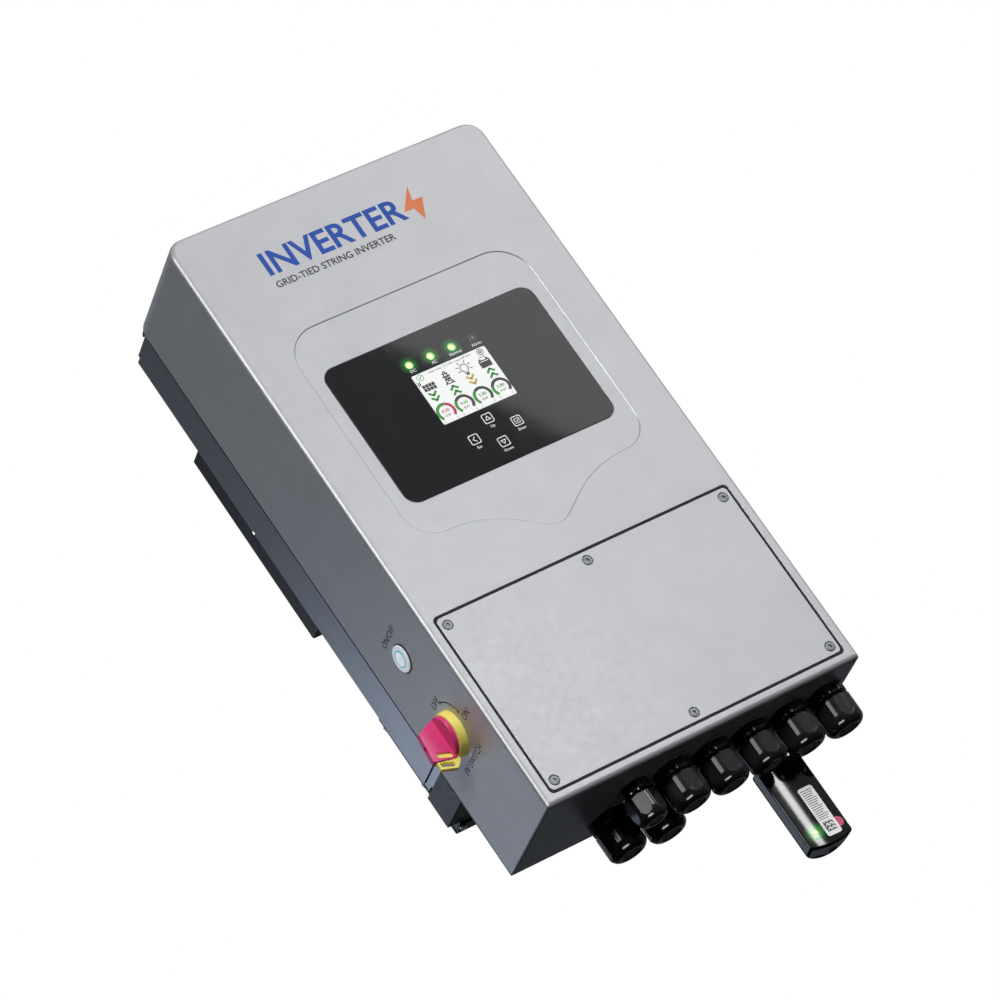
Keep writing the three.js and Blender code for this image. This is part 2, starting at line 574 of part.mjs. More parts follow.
function isolatorHandle() {
  const { thickness, highTip, lowTip, rootUp, rootDown, tipUp, tipDown } = HANDLE_BAR;
  const foot = ISOLATOR.baseHeight + 2 * GAP;
  const discTop = foot + ISOLATOR.discHeight;
  const disc = rod(ISOLATOR.discRadius, OUTWARD + foot, OUTWARD + discTop, DISC).rotate([0, -90, 0]);
  const bar = uprightPlate(
    [[discTop - 1, rootUp], [highTip, tipUp], [lowTip, -tipDown], [discTop - 1, -rootDown]],
    thickness / 2,
  );
  const { radius, reach } = HANDLE_SHAFT;
  const shaft = rod(radius, OUTWARD - reach, OUTWARD + foot + 1).rotate([0, -90, 0]);
  const { clear, top, armTop, bottom } = TAB_SLOT;
  const slotHalf = TAB.thickness / 2 + clear;
  const near = TAB.near - clear;
  const far = TAB.far + clear;
  const slot = uprightPlate([[near, top], [far, top], [far, bottom], [near, bottom]], slotHalf);
  const armSlot = uprightPlate([[0, armTop], [TAB.near, armTop], [TAB.near, bottom], [0, bottom]], slotHalf);
  const { out, up, tilt } = HANDLE_WINDOW;
  const window = alongY(centredRect(HANDLE_WINDOW), -thickness, thickness)
    .rotate([0, tilt, 0])
    .translate([-OUTWARD - out, 0, up]);
  const holeFloor = OUTWARD + highTip - FIXING_HOLE.depth;
  const fixingHole = rod(FIXING_HOLE.radius, holeFloor, OUTWARD + lowTip + 1, SMALL_ROUND)
    .rotate([0, -90, 0])
    .translate([0, 0, FIXING_HOLE.up]);
  const handle = cut(joined(disc, bar, shaft), slot, armSlot, window, fixingHole);
  return handle.translate([0, ISOLATOR.y, ISOLATOR.z]);
}

function padlockTab() {
  const { near, far, top, thickness } = TAB;
  const outline = [[near, top], ...TAB_LOOP, [far, top]];
  const tab = cut(uprightPlate(outline, thickness / 2), uprightPlate(TAB_EYE, thickness));
  return tab.translate([0, ISOLATOR.y, ISOLATOR.z]);
}

function isolatorSwitch() {
  const half = SWITCH_BODY.side / 2;
  const wallInside = -CABINET.halfWidth + SHEET + GAP;
  const { y, z } = ISOLATOR;
  const block = box(wallInside, wallInside + SWITCH_BODY.length, y - half, y + half, z - half, z + half);
  const { offsets, width, proud } = SWITCH_RIBS;
  const ribHalf = half + proud;
  const ribs = offsets.map((offset) => {
    const x = wallInside + offset;
    return box(x, x + width, y - ribHalf, y + ribHalf, z - ribHalf, z + ribHalf);
  });
  const bore = rod(HANDLE_SHAFT.radius + 0.5, OUTWARD - HANDLE_SHAFT.reach - 3, OUTWARD + 1);
  return cut(joined(block, ...ribs), facingLeft(bore, y, z));
}

function buttonBezel() {
  const { flange, barrel, bore, proud, length, floor } = BUTTON;
  const profile = [
    [0, -length], [barrel, -length], [barrel, GAP], [flange, GAP], [flange - 0.5, proud],
    [bore, proud], [bore, -floor], [0, -floor],
  ];
  const lifted = profile.map(([radius, height]) => [radius, height + OUTWARD]);
  return facingLeft(turned(lifted, DISC), BUTTON.y, BUTTON.z);
}

function buttonCap() {
  const { proud } = BUTTON;
  const { radius: cap, length, crown, bevel } = BUTTON_CAP;
  const top = proud + crown;
  const profile = [[0, -length], [cap, -length], [cap, proud], [cap - bevel, top], [0, top]];
  const lifted = profile.map(([radius, height]) => [radius, height + OUTWARD]);
  return facingLeft(turned(lifted, DISC), BUTTON.y, BUTTON.z);
}

// ---- Cable glands: heights are measured down from the cabinet's underside ----

function hexPrism(flats, turn, z0, z1) {
  return rod(flats / Math.cos(Math.PI / 6), z0, z1, 6).rotate([0, 0, turn]);
}

function glandBody(size) {
  const { thread, flange, flats, bore, neck, scale, turn } = size;
  const inside = -GLAND_DROPS.inside;
  const flangeFoot = -GLAND_DROPS.flange * scale;
  const neckFoot = -GLAND_DROPS.neck * scale;
  const wide = bore + 0.5;
  const profile = [
    [wide, inside], [wide, neckFoot], [neck, neckFoot], [neck, flangeFoot],
    [flange, flangeFoot], [flange, -GAP], [thread, -GAP], [thread, inside],
  ];
  return turned(ringProfile(profile)).intersect(hexPrism(flats, turn, neckFoot - 1, inside + 1));
}

function glandNut(size) {
  const { bore, neck, nut, flats, scale, turn } = size;
  const [top, shoulder, seat, dome, end] = ['nut', 'shoulder', 'seat', 'dome', 'end']
    .map((level) => -GLAND_DROPS[level] * scale);
  const inner = neck + GAP;
  const profile = [
    [inner, top], [inner, seat], [bore, seat], [bore, end], [bore + 2.5, end],
    [nut * 0.92, dome], [nut, shoulder], [nut, top],
  ];
  return turned(ringProfile(profile)).intersect(hexPrism(flats, turn, end - 1, top + 1));
}

// ---- Data logger ----

function loggerSocket() {
  const { radius, stub, drop, rise } = LOGGER_NECK;
  const foot = -CABINET.halfHeight - drop;
  const shoulder = -CABINET.halfHeight - GAP;
  const top = -CABINET.halfHeight + rise;
  return turned([[0, foot], [radius, foot], [radius, shoulder], [stub, shoulder], [stub, top], [0, top]]);
}

function loggerCollar() {
  const { radius, clear } = LOGGER_COLLAR;
  const top = -CABINET.halfHeight - LOGGER_COLLAR.top;
  const foot = -CABINET.halfHeight - LOGGER_COLLAR.foot;
  const inner = LOGGER_NECK.radius + clear;
  return turned(ringProfile([[inner, top], [inner, foot], [radius, foot], [radius, top]]));
}

function loggerOutline() {
  const { halfWidth, front, sideBack, back } = LOGGER;
  const { crown, corner } = LOGGER_SHAPE;
  const edge = front + crown;
  const flat = halfWidth - corner;
  const nearBack = back - 3;
  const nearMiddle = halfWidth * 0.6;
  const shape = new THREE.Shape();
  shape.moveTo(-flat, edge);
  shape.quadraticCurveTo(0, front - crown, flat, edge);
  shape.quadraticCurveTo(halfWidth, edge, halfWidth, edge + corner);
  shape.lineTo(halfWidth, sideBack);
  shape.bezierCurveTo(halfWidth, nearBack, nearMiddle, back, 0, back);
  shape.bezierCurveTo(-nearMiddle, back, -halfWidth, nearBack, -halfWidth, sideBack);
  shape.lineTo(-halfWidth, edge + corner);
  shape.quadraticCurveTo(-halfWidth, edge, -flat, edge);
  return shape;
}

function loggerBody() {
  const { halfWidth, front, back, top, bottom } = LOGGER;
  const { sag } = LOGGER_SHAPE;
  const stick = alongZ(loggerOutline(), bottom - sag, top, 8);
  const endShape = new THREE.Shape();
  endShape.moveTo(-halfWidth - 1, top + 1);
  endShape.lineTo(-halfWidth - 1, bottom);
  endShape.quadraticCurveTo(0, bottom - 2 * sag, halfWidth + 1, bottom);
  endShape.lineTo(halfWidth + 1, top + 1);
  const rounded = stick.intersect(alongY(endShape, front - 3, back + 1, 10));
  const neck = rod(LOGGER_NECK.radius, top - 1, -CABINET.halfHeight - LOGGER_NECK.drop - GAP);
  return joined(rounded, neck.translate([0, LOGGER.y, 0]));
}

// ---- Pieces inside the cabinet ----

function powerBoard() {
  const { halfWidth, y, thickness, bottom, top } = POWER_BOARD;
  const board = box(-halfWidth, halfWidth, y, y + thickness, bottom, top);
  const overlap = y + thickness / 2;
  const modules = POWER_MODULES.x.map((x) => {
    const half = POWER_MODULES.halfWidth;
    return box(x - half, x + half, overlap, POWER_MODULES.back, POWER_MODULES.bottom, POWER_MODULES.top);
  });
  const driver = box(DRIVER.x0, DRIVER.x1, DRIVER.front, overlap, DRIVER.bottom, DRIVER.top);
  const relays = RELAYS.x.map((x) => (
    box(x - RELAYS.halfWidth, x + RELAYS.halfWidth, RELAYS.front, overlap, RELAYS.bottom, RELAYS.top)
  ));
  return joined(board, ...modules, driver, ...relays);
}

function capacitorBank() {
  const { halfWidth, front, back, bottom, top } = CAPACITOR_HOLDER;
  const cans = CAPACITORS.x.flatMap((x) => CAPACITORS.z.map((z) => (
    facingBack(rod(CAPACITORS.radius, CAPACITORS.front, front + 1, SMALL_ROUND)).translate([x, 0, z])
  )));
  return joined(box(-halfWidth, halfWidth, front, back, bottom, top), ...cans);
}

function inductorBlock() {
  const { halfWidth, front, back, bottom, top } = POTTING;
  const coils = COILS.x.map((x) => (
    facingBack(rod(COILS.radius, COILS.front, front + 1)).translate([x, 0, COILS.z])
  ));
  return joined(box(-halfWidth, halfWidth, front, back, bottom, top), ...coils);
}

function terminalBlock() {
  const { x0, x1, front, back, bottom, top } = TERMINALS;
  const { first, pitch, count, halfWidth, back: floor, top: roof } = TERMINAL_POCKETS;
  const pockets = Array.from({ length: count }, (_, index) => {
    const x = first + index * pitch;
    return box(x - halfWidth, x + halfWidth, front - 1, floor, bottom - 1, roof);
  });
  return cut(box(x0, x1, front, back, bottom, top), ...pockets);
}

// ---- Scene graph ----

function named(name, manifold, material) {
  const mesh = new THREE.Mesh(toGeometry(manifold), material);
  mesh.name = name;
  return mesh;
}

function placed(mesh, x, y, z) {
  mesh.position.set(x, y, z);
  return mesh;
}

const cabinet = new THREE.Group();
cabinet.position.set(0, -TOTAL_DEPTH, CABINET_CENTRE_Z);

cabinet.add(
  named('front_cover', frontCover(), MATERIAL.cabinet),
  named('wiring_cover', wiringCover(), MATERIAL.cabinet),
  named('wiring_seal', wiringSeal(), MATERIAL.rubber),
  named('case_seal', caseSeal(), MATERIAL.rubber),
  named('rear_plate', rearPlate(), MATERIAL.blackPaint),
  named('display_glass', displayGlass(), MATERIAL.glossBlack),
  named('lcd_module', lcdModule(), MATERIAL.screen),
  named('display_board', displayBoard(), MATERIAL.board),
  named('light_guide', lightGuide(), MATERIAL.clear),
  named('heatsink', heatsink(), MATERIAL.aluminium),
  named('spacer_frame', spacerFrame(), MATERIAL.aluminium),
  named('fan_tray', fanTray(), MATERIAL.darkSheet),
  named('duct_cover', ductCover(), MATERIAL.darkSheet),
  named('hanger_rail', hangerRail(), MATERIAL.darkSheet),
  named('isolator_base', isolatorBase(), MATERIAL.yellow),
  named('isolator_handle', isolatorHandle(), MATERIAL.magenta),
  named('padlock_tab', padlockTab(), MATERIAL.yellow),
  named('isolator_switch', isolatorSwitch(), MATERIAL.component),
  named('button_bezel', buttonBezel(), MATERIAL.ring),
  named('button_cap', buttonCap(), MATERIAL.ring),
  named('power_board', powerBoard(), MATERIAL.board),
  named('capacitor_bank', capacitorBank(), MATERIAL.component),
  named('inductor_block', inductorBlock(), MATERIAL.component),
  named('terminal_block', terminalBlock(), MATERIAL.component),
);

COVER_SCREW.z.forEach((z, row) => {
  COVER_SCREW.x.forEach((x, column) => {
    const number = row * COVER_SCREW.x.length + column + 1;
    cabinet.add(placed(named(`cover_screw_${number}`, coverScrew(), MATERIAL.steel), x, 0, z));
  });
});

for (const [name, [x, z]] of Object.entries(KEYS)) {
  cabinet.add(placed(named(name, keyCap(), MATERIAL.glossBlack), x, 0, z));
}

['left', 'middle', 'right'].forEach((side, index) => {
  cabinet.add(
    placed(named(`fan_frame_${side}`, fanFrame(), MATERIAL.nylon), FAN.x[index], FAN.y, 0),
    placed(named(`fan_rotor_${side}`, fanRotor(), MATERIAL.nylon), FAN.x[index], FAN.y, 0),
  );
});

for (const { name, x, y, size } of GLANDS) {
  const underside = -CABINET.halfHeight;
  cabinet.add(
    placed(named(`gland_body_${name}`, glandBody(size), MATERIAL.nylon), x, y, underside),
    placed(named(`gland_nut_${name}`, glandNut(size), MATERIAL.nylon), x, y, underside),
  );
}

cabinet.add(
  placed(named('logger_socket', loggerSocket(), MATERIAL.nylon), LOGGER.x, LOGGER.y, 0),
  placed(named('logger_collar', loggerCollar(), MATERIAL.nylon), LOGGER.x, LOGGER.y, 0),
  placed(named('logger_body', loggerBody(), MATERIAL.glossBlack), LOGGER.x, 0, 0),
);

const inverter = new THREE.Group();
inverter.add(cabinet, named('wall_bracket', wallBracket(), MATERIAL.darkSheet));

export default inverter;
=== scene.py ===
"""A wall-hung string inverter: its looks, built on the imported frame.

Shapes are drawn in cabinet millimetres: x to the right seen from the front, y the depth behind the
cabinet's front face, z the height above the cabinet's middle. put() moves them into the row frame.
"""
import json
import math
from collections import namedtuple
from itertools import pairwise

import bmesh
import bpy
from mathutils import Matrix, Vector

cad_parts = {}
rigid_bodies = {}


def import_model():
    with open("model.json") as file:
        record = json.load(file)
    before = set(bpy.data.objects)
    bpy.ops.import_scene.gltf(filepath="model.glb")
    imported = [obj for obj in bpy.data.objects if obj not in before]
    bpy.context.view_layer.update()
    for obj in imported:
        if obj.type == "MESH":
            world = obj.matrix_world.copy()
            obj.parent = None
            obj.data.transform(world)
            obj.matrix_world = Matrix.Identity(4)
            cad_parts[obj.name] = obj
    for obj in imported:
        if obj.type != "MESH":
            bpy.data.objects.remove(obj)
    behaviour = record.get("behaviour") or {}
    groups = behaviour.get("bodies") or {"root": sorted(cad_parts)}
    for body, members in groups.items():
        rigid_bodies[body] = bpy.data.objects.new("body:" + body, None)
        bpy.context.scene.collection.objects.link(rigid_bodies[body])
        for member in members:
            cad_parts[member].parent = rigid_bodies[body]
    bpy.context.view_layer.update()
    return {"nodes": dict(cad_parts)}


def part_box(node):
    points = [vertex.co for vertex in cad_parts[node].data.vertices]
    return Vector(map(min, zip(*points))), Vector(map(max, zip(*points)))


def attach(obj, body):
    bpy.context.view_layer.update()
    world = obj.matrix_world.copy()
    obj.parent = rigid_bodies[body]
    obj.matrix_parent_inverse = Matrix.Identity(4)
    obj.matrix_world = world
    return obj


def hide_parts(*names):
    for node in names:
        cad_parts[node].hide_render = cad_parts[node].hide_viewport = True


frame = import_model()
scene = bpy.context.scene
scene.view_settings.view_transform = "Standard"

# ---- Places, from the frame ----

MM = 0.001
cover_low, cover_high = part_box("front_cover")
ORIGIN = Vector((0, cover_low.y, (cover_low.z + cover_high.z) / 2))
TO_ROW = Matrix.Translation(ORIGIN) @ Matrix.Scale(MM, 4)


class Span(namedtuple("Span", "x0 x1 y0 y1 z0 z1")):
    """A box in cabinet millimetres, with its middle and half its width."""

    x = property(lambda box: (box.x0 + box.x1) / 2)
    y = property(lambda box: (box.y0 + box.y1) / 2)
    z = property(lambda box: (box.z0 + box.z1) / 2)
    half = property(lambda box: (box.x1 - box.x0) / 2)


def span(node):
    """A CAD node's box in cabinet millimetres."""
    low, high = ((corner - ORIGIN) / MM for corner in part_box(node))
    return Span(low.x, high.x, low.y, high.y, low.z, high.z)


CABINET = span("front_cover")
LEFT = CABINET.x0
FOOT = CABINET.z0
GLASS = span("display_glass")
SCREEN = span("lcd_module")
COVER = span("wiring_cover")
SINK = span("heatsink")
TRAY = span("fan_tray")
DUCT = span("duct_cover")
BRACKET = span("wall_bracket")
PLATE = span("rear_plate")
LOGGER = span("logger_body")
SOCKET = span("logger_socket")
LOGGER_X = SOCKET.x
BUTTON = span("button_bezel")
BASE = span("isolator_base")
FANS = {side: span("fan_frame_" + side) for side in ("left", "middle", "right")}

# ---- Camera ----

# Worked out from the cabinet's straight edges in the photo; the place is in metres
CAMERA_PLACE = Vector((-2.18763, -3.98819, -1.63945))
CAMERA_RIGHT = Vector((0.80429978, -0.24543344, -0.54116937))
CAMERA_FORWARD = Vector((0.469804, 0.82028508, 0.32621555))
CAMERA_LENS = 195.38


def make_camera():
    data = bpy.data.cameras.new("camera")
    data.lens = CAMERA_LENS
    data.sensor_width = 36
    camera = bpy.data.objects.new("camera", data)
    up = CAMERA_RIGHT.cross(CAMERA_FORWARD)
    turn = Matrix((CAMERA_RIGHT, up, -CAMERA_FORWARD)).transposed()
    camera.matrix_world = Matrix.Translation(CAMERA_PLACE) @ turn.to_4x4()
    scene.collection.objects.link(camera)
    scene.camera = camera


make_camera()

# ---- Materials ----


def give(tree, socket, value):
    """Sets an input to a value, or links it to another node's socket."""
    if isinstance(value, bpy.types.NodeSocket):
        tree.links.new(value, socket)
    else:
        socket.default_value = value


def shader(tree, kind, *first, settings=None, **inputs):
    """Adds a shader node: its first inputs by order, others by name, with _ for a name's spaces."""
    made = tree.nodes.new("ShaderNode" + kind)
    for key, value in (settings or {}).items():
        setattr(made, key, value)
    for socket, value in zip(made.inputs, first):
        give(tree, socket, value)
    for key, value in inputs.items():
        give(tree, made.inputs[key.replace("_", " ")], value)
    return made


def math_of(tree, operation, first, second, kind="Math"):
    """The result of a calculation with two inputs."""
    return shader(tree, kind, first, second, settings={"operation": operation}).outputs["Value"]


def ranged(tree, value, low, high, to_low=0.0, to_high=1.0, kind="LINEAR"):
    """The value's way from low to high, moved to another range."""
    return shader(
        tree, "MapRange", settings={"interpolation_type": kind}, Value=value, From_Min=low, From_Max=high,
        To_Min=to_low, To_Max=to_high,
    ).outputs["Result"]


def mixed(tree, factor, first, second):
    """The colour socket of a mix from first to second."""
    made = tree.nodes.new("ShaderNodeMix")
    made.data_type = "RGBA"
    for index, value in ((0, factor), (6, first), (7, second)):
        give(tree, made.inputs[index], value)
    return made.outputs[2]


def linear(red, green, blue):
    """A display colour of 0 to 255 as the shader's linear one."""
    steps = [channel / 255 for channel in (red, green, blue)]
    return [step / 12.92 if step <= 0.04045 else ((step + 0.055) / 1.055) ** 2.4 for step in steps] + [1]


def shaded(colour, amount):
    """The colour, lighter by an amount, or darker where it is below 0."""
    return [min(1, channel * (1 + amount)) for channel in colour[:3]] + [1]


MATERIALS = {}


def finish_of(
    name, display_colour, roughness, metallic=0.0, cloud=0.03, cloud_scale=14, grain=0.08, grain_scale=2600,
    stretch=(1, 1, 1), rough_spread=0.05, wear_and_highlight=0.0, specular=0.5, glow=0.0,
):
    """A surface with soft clouds of colour, uneven gloss, a fine grain and lighter edges, partly wear and
    partly a painted highlight.
    """
    colour = linear(*display_colour)
    made = bpy.data.materials.new(name)
    made.use_nodes = True
    tree = made.node_tree
    body = tree.nodes["Principled BSDF"]
    place = shader(tree, "TexCoord").outputs["Object"]
    drawn = shader(tree, "Mapping", Vector=place, Scale=stretch).outputs["Vector"]
    clouds = shader(tree, "TexNoise", Vector=drawn, Scale=cloud_scale, Detail=5.0, Roughness=0.6)
    spread = ranged(tree, clouds.outputs["Fac"], 0.35, 0.65)
    tint = mixed(tree, spread, shaded(colour, -cloud), shaded(colour, cloud))
    # Edges are made lighter: partly wear, partly a painted highlight on the rounded edges
    if wear_and_highlight:
        flat = shader(tree, "NewGeometry").outputs["Normal"]
        soft = shader(tree, "Bevel", settings={"samples": 4}, Radius=0.0007).outputs["Normal"]
        turn = math_of(tree, "DOT_PRODUCT", flat, soft, "VectorMath")
        tint = mixed(tree, ranged(tree, turn, 0.97, 0.80, 0.0, wear_and_highlight), tint, shaded(colour, 0.5))
    give(tree, body.inputs["Base Color"], tint)
    patches = shader(tree, "TexNoise", Vector=drawn, Scale=cloud_scale * 4.3, Detail=3.0)
    smoothest = max(0.02, roughness - rough_spread)
    gloss = ranged(tree, patches.outputs["Fac"], 0.3, 0.7, smoothest, roughness + rough_spread)
    give(tree, body.inputs["Roughness"], gloss)
    fine = shader(tree, "TexNoise", Vector=drawn, Scale=grain_scale, Detail=2.0)
    bump = shader(tree, "Bump", Height=fine.outputs["Fac"], Strength=grain, Distance=0.0001)
    give(tree, body.inputs["Normal"], bump.outputs["Normal"])
    body.inputs["Metallic"].default_value = metallic
    body.inputs["Specular IOR Level"].default_value = specular
    # A glow is the own light of lamps and of the screen; on parts that are no lamps it is painted light
    if glow:
        body.inputs["Emission Color"].default_value = colour
        body.inputs["Emission Strength"].default_value = glow
    MATERIALS[name] = made
    return made


finish_of(
    "cabinet_paint", (208, 209, 212), 0.36, 0.15, cloud=0.028, cloud_scale=32, grain=0.07,
    rough_spread=0.03, wear_and_highlight=0.35,
)
finish_of("black_paint", (30, 31, 33), 0.45, cloud=0.1, wear_and_highlight=0.2)
finish_of("dark_sheet", (72, 74, 79), 0.42, 0.25, cloud=0.08, cloud_scale=22, grain=0.12, wear_and_highlight=0.3)
finish_of(
    "brushed_aluminium", (174, 177, 184), 0.34, 0.85, cloud=0.05, cloud_scale=260, grain=0.12,
    grain_scale=2400, stretch=(1, 1, 0.02), rough_spread=0.03, wear_and_highlight=0.3,
)
finish_of("screw_steel", (112, 114, 119), 0.36, 0.7, cloud=0.08, cloud_scale=400, wear_and_highlight=0.2)
finish_of("bright_steel", (216, 217, 220), 0.2, 0.9, cloud=0.05, cloud_scale=400, wear_and_highlight=0.3)
finish_of("circuit_board", (28, 84, 52), 0.5, cloud=0.15, cloud_scale=120)
finish_of("component_plastic", (44, 47, 54), 0.5, cloud=0.12, cloud_scale=60, wear_and_highlight=0.2)
finish_of("seal_rubber", (17, 17, 18), 0.75, cloud=0.2, cloud_scale=90, grain=0.3, grain_scale=1400)
# The switch's yellow and red glow a little: painted light that makes them brighter, as the switch gives no
# light
finish_of("isolator_yellow", (246, 230, 112), 0.34, cloud=0.03, cloud_scale=60, wear_and_highlight=0.15, glow=0.06)
finish_of("isolator_red", (222, 52, 122), 0.34, cloud=0.04, cloud_scale=60, wear_and_highlight=0.2, glow=0.06)
# The bezel's and the cap's glows are painted light that makes the white parts brighter
finish_of("button_ring", (232, 236, 244), 0.28, cloud=0.02, cloud_scale=80, glow=0.42)
finish_of("button_cap", (224, 230, 240), 0.3, cloud=0.02, cloud_scale=80, glow=0.6)
finish_of(
    "gland_nylon", (42, 43, 45), 0.13, cloud=0.1, cloud_scale=70, grain=0.01, rough_spread=0.02,
    specular=0.34,
)
finish_of("fan_plastic", (26, 27, 30), 0.42, cloud=0.12, cloud_scale=70, wear_and_highlight=0.15)
finish_of(
    "logger_gloss", (24, 25, 26), 0.1, cloud=0.1, cloud_scale=50, grain=0.001, rough_spread=0.01,
    specular=0.6,
)
finish_of(
    "display_gloss", (47, 48, 49), 0.04, cloud=0.04, cloud_scale=30, grain=0.001, rough_spread=0.01,
    specular=0.28,
)
finish_of("screen", (236, 237, 235), 0.3, cloud=0.01, cloud_scale=60, glow=0.47)
# The white print, the label paper and the blue print glow: painted light that makes them brighter
finish_of("ink_white", (236, 237, 238), 0.4, cloud=0.02, cloud_scale=200, glow=0.2)
finish_of("label_paper", (238, 238, 238), 0.4, cloud=0.02, cloud_scale=200, glow=0.3)
finish_of("ink_blue", (24, 84, 184), 0.45, cloud=0.04, cloud_scale=120, specular=0.25, glow=0.12)
for ink_name, ink_colour, ink_roughness, ink_scale, ink_glow in (
    ("light_guide", (236, 240, 176), 0.25, 300, 0.7),
    ("lamp_off", (120, 116, 116), 0.25, 300, 0.0),
    ("lamp_pink", (192, 4, 84), 0.3, 300, 0.3),
    ("lamp_ring", (150, 222, 140), 0.3, 300, 0.6),
    ("cyan_light", (118, 186, 196), 0.3, 200, 0.45),
    ("ink_dark", (70, 72, 76), 0.5, 200, 0.0),
    ("ink_black", (28, 29, 31), 0.5, 200, 0.0),
    # ink_grey's glow is the lit screen's own light in its text and painted light on the unlit status ring;
    # ink_orange's glow is painted light on printed ink
    ("ink_grey", (120, 124, 128), 0.5, 200, 0.1),
    ("ink_orange", (240, 122, 60), 0.45, 120, 0.15),
    ("pixel_green", (30, 138, 36), 0.4, 300, 0.35),
    ("pixel_red", (190, 4, 76), 0.4, 300, 0.28),
    ("pixel_yellow", (206, 172, 76), 0.4, 300, 0.3),
    ("pixel_dark", (44, 46, 49), 0.4, 300, 0.0),
):
    finish_of(ink_name, ink_colour, ink_roughness, cloud=0.05, cloud_scale=ink_scale, glow=ink_glow)


def add_halo(name, spots, display_colour, reach, strength):
    """Light that a lamp throws into the gloss around it: it fades with the distance from its place."""
    tree = MATERIALS[name].node_tree
    body = tree.nodes["Principled BSDF"]
    place = shader(tree, "TexCoord").outputs["Object"]
    total = None
    for spot in spots:
        away = math_of(tree, "DISTANCE", place, spot, "VectorMath")
        near = ranged(tree, away, reach * MM, 0.0, 0.0, strength, "SMOOTHERSTEP")
        total = near if total is None else math_of(tree, "ADD", total, near)
    body.inputs["Emission Color"].default_value = linear(*display_colour)
    give(tree, body.inputs["Emission Strength"], total)


# ---- Outlines: each is a function of an inset that gives the points, counter-clockwise ----

TINY = 0.05


def spoke(radius, angle, across=0.0, up=0.0):
    """The point at a radius and an angle, in radians, from a middle."""
    return across + radius * math.cos(angle), up + radius * math.sin(angle)


def turns_of(steps):
    """The angles, in radians, of a circle's steps."""
    return [math.tau * step / steps for step in range(steps)]


def arc_points(across, up, radius, start, end, steps=8):
    """Points of an arc between two angles in degrees."""
    turns = [math.radians(start + (end - start) * step / steps) for step in range(steps + 1)]
    return [spoke(radius, turn, across, up) for turn in turns]


def block(x0, x1, z0, z1, corner, high=None, steps=8):
    """A rectangle with rounded corners; high is the two upper corners' radius."""
    high = corner if high is None else high
    corners = ((x1, z0, corner, 1, -1), (x1, z1, high, 1, 1), (x0, z1, high, -1, 1), (x0, z0, corner, -1, -1))

    def outline(inset=0.0):
        points = []
        for start, (x, z, radius, right, upper) in zip((-90, 0, 90, 180), corners):
            bend = max(radius - inset, TINY)
            middle = x - right * (inset + bend), z - upper * (inset + bend)
            points += arc_points(*middle, bend, start, start + 90, steps)
        return points

    return outline


def square(half, corner):
    """A square round the middle."""
    return block(-half, half, -half, half, corner)


def round_of(radius, across=0.0, up=0.0, steps=56):
    """A circle; a small number of steps makes a polygon of it."""

    def outline(inset=0.0):
        return [spoke(max(radius - inset, TINY), turn, across, up) for turn in turns_of(steps)]

    return outline


def traced(points):
    """An outline through points, inset with mitred corners."""
    def outline(inset=0.0):
        moved = []
        for before, here, after in zip(points[-1:] + points[:-1], points, points[1:] + points[:1]):
            first = (Vector(here) - Vector(before)).normalized()
            second = (Vector(after) - Vector(here)).normalized()
            normals = Vector((-first.y, first.x)), Vector((-second.y, second.x))
            mitre = (normals[0] + normals[1]) / max(1 + normals[0].dot(normals[1]), 0.2)
            moved.append(tuple(Vector(here) + mitre * inset))
        return moved

    return outline


def filleted(corners, steps=5):
    """Points of a polygon whose corners, given as (u, v, radius), are rounded."""
    points = []
    for before, here, after in zip(corners[-1:] + corners[:-1], corners, corners[1:] + corners[:1]):
        middle = Vector(here[:2])
        back = (Vector(before[:2]) - middle).normalized()
        on = (Vector(after[:2]) - middle).normalized()
        half = back.angle(on) / 2
        reach = here[2] / math.tan(half)
        centre = middle + (back + on).normalized() * (here[2] / math.sin(half))
        start = middle + back * reach - centre
        sweep = start.angle_signed(middle + on * reach - centre)
        for step in range(steps + 1):
            turn = Matrix.Rotation(-sweep * step / steps, 2)
            points.append(tuple(centre + turn @ start))
    return points


def curve_points(start, bend1, bend2, end, steps=10):
    """Points of a cubic curve, without its last one."""
    points = []
    for step in range(steps):
        t = step / steps
        weights = ((1 - t) ** 3, 3 * t * (1 - t) ** 2, 3 * t * t * (1 - t), t ** 3)
        points.append(tuple(
            sum(weight * spot[axis] for weight, spot in zip(weights, (start, bend1, bend2, end)))
            for axis in (0, 1)
        ))
    return points


# ---- Planes: each turns (u, v, w) of a drawing into cabinet millimetres ----


def on_front(x=0.0, y=0.0, z=0.0):
    """Drawn as seen from the front; w runs backwards."""
    return lambda u, v, w: (x + u, y + w, z + v)


def over_front(x=0.0, depth=0.0, z=0.0):
    """Drawn as seen from the front; w stands proud, towards the front."""
    return lambda u, v, w: (x + u, depth - w, z + v)


def on_left(y, z):
    """Drawn as seen from the left; w runs outwards from the cabinet's left side."""
    return lambda u, v, w: (LEFT - w, y - u, z + v)


def on_level(x=0.0, y=0.0, z=0.0):
    """Drawn as seen from above; w runs upwards."""
    return lambda u, v, w: (x + u, y + v, z + w)


def on_underside(x, y):
    """Drawn as seen from below, with v towards the front; w runs downwards."""
    return lambda u, v, w: (x + u, y - v, FOOT - w)


# ---- Solids ----

# Edges that turn by more degrees than this stay sharp
SHARP = 32
KEPT_EDGE = 0.35


def skin(bm, rings, closed=False):
    """Joins each ring of points to the next one, and gives back the rings of vertices."""
    made = [[bm.verts.new(spot) for spot in ring] for ring in rings]
    for low, high in pairwise(made + made[:1] if closed else made):
        for a, b, c, d in zip(low, low[1:] + low[:1], high[1:] + high[:1], high):
            bm.faces.new((a, b, c, d))
    return made


def loft(bm, rings):
    """Joins rings of points, and closes both ends."""
    made = skin(bm, rings)
    fill(bm, made[0])
    fill(bm, made[-1])


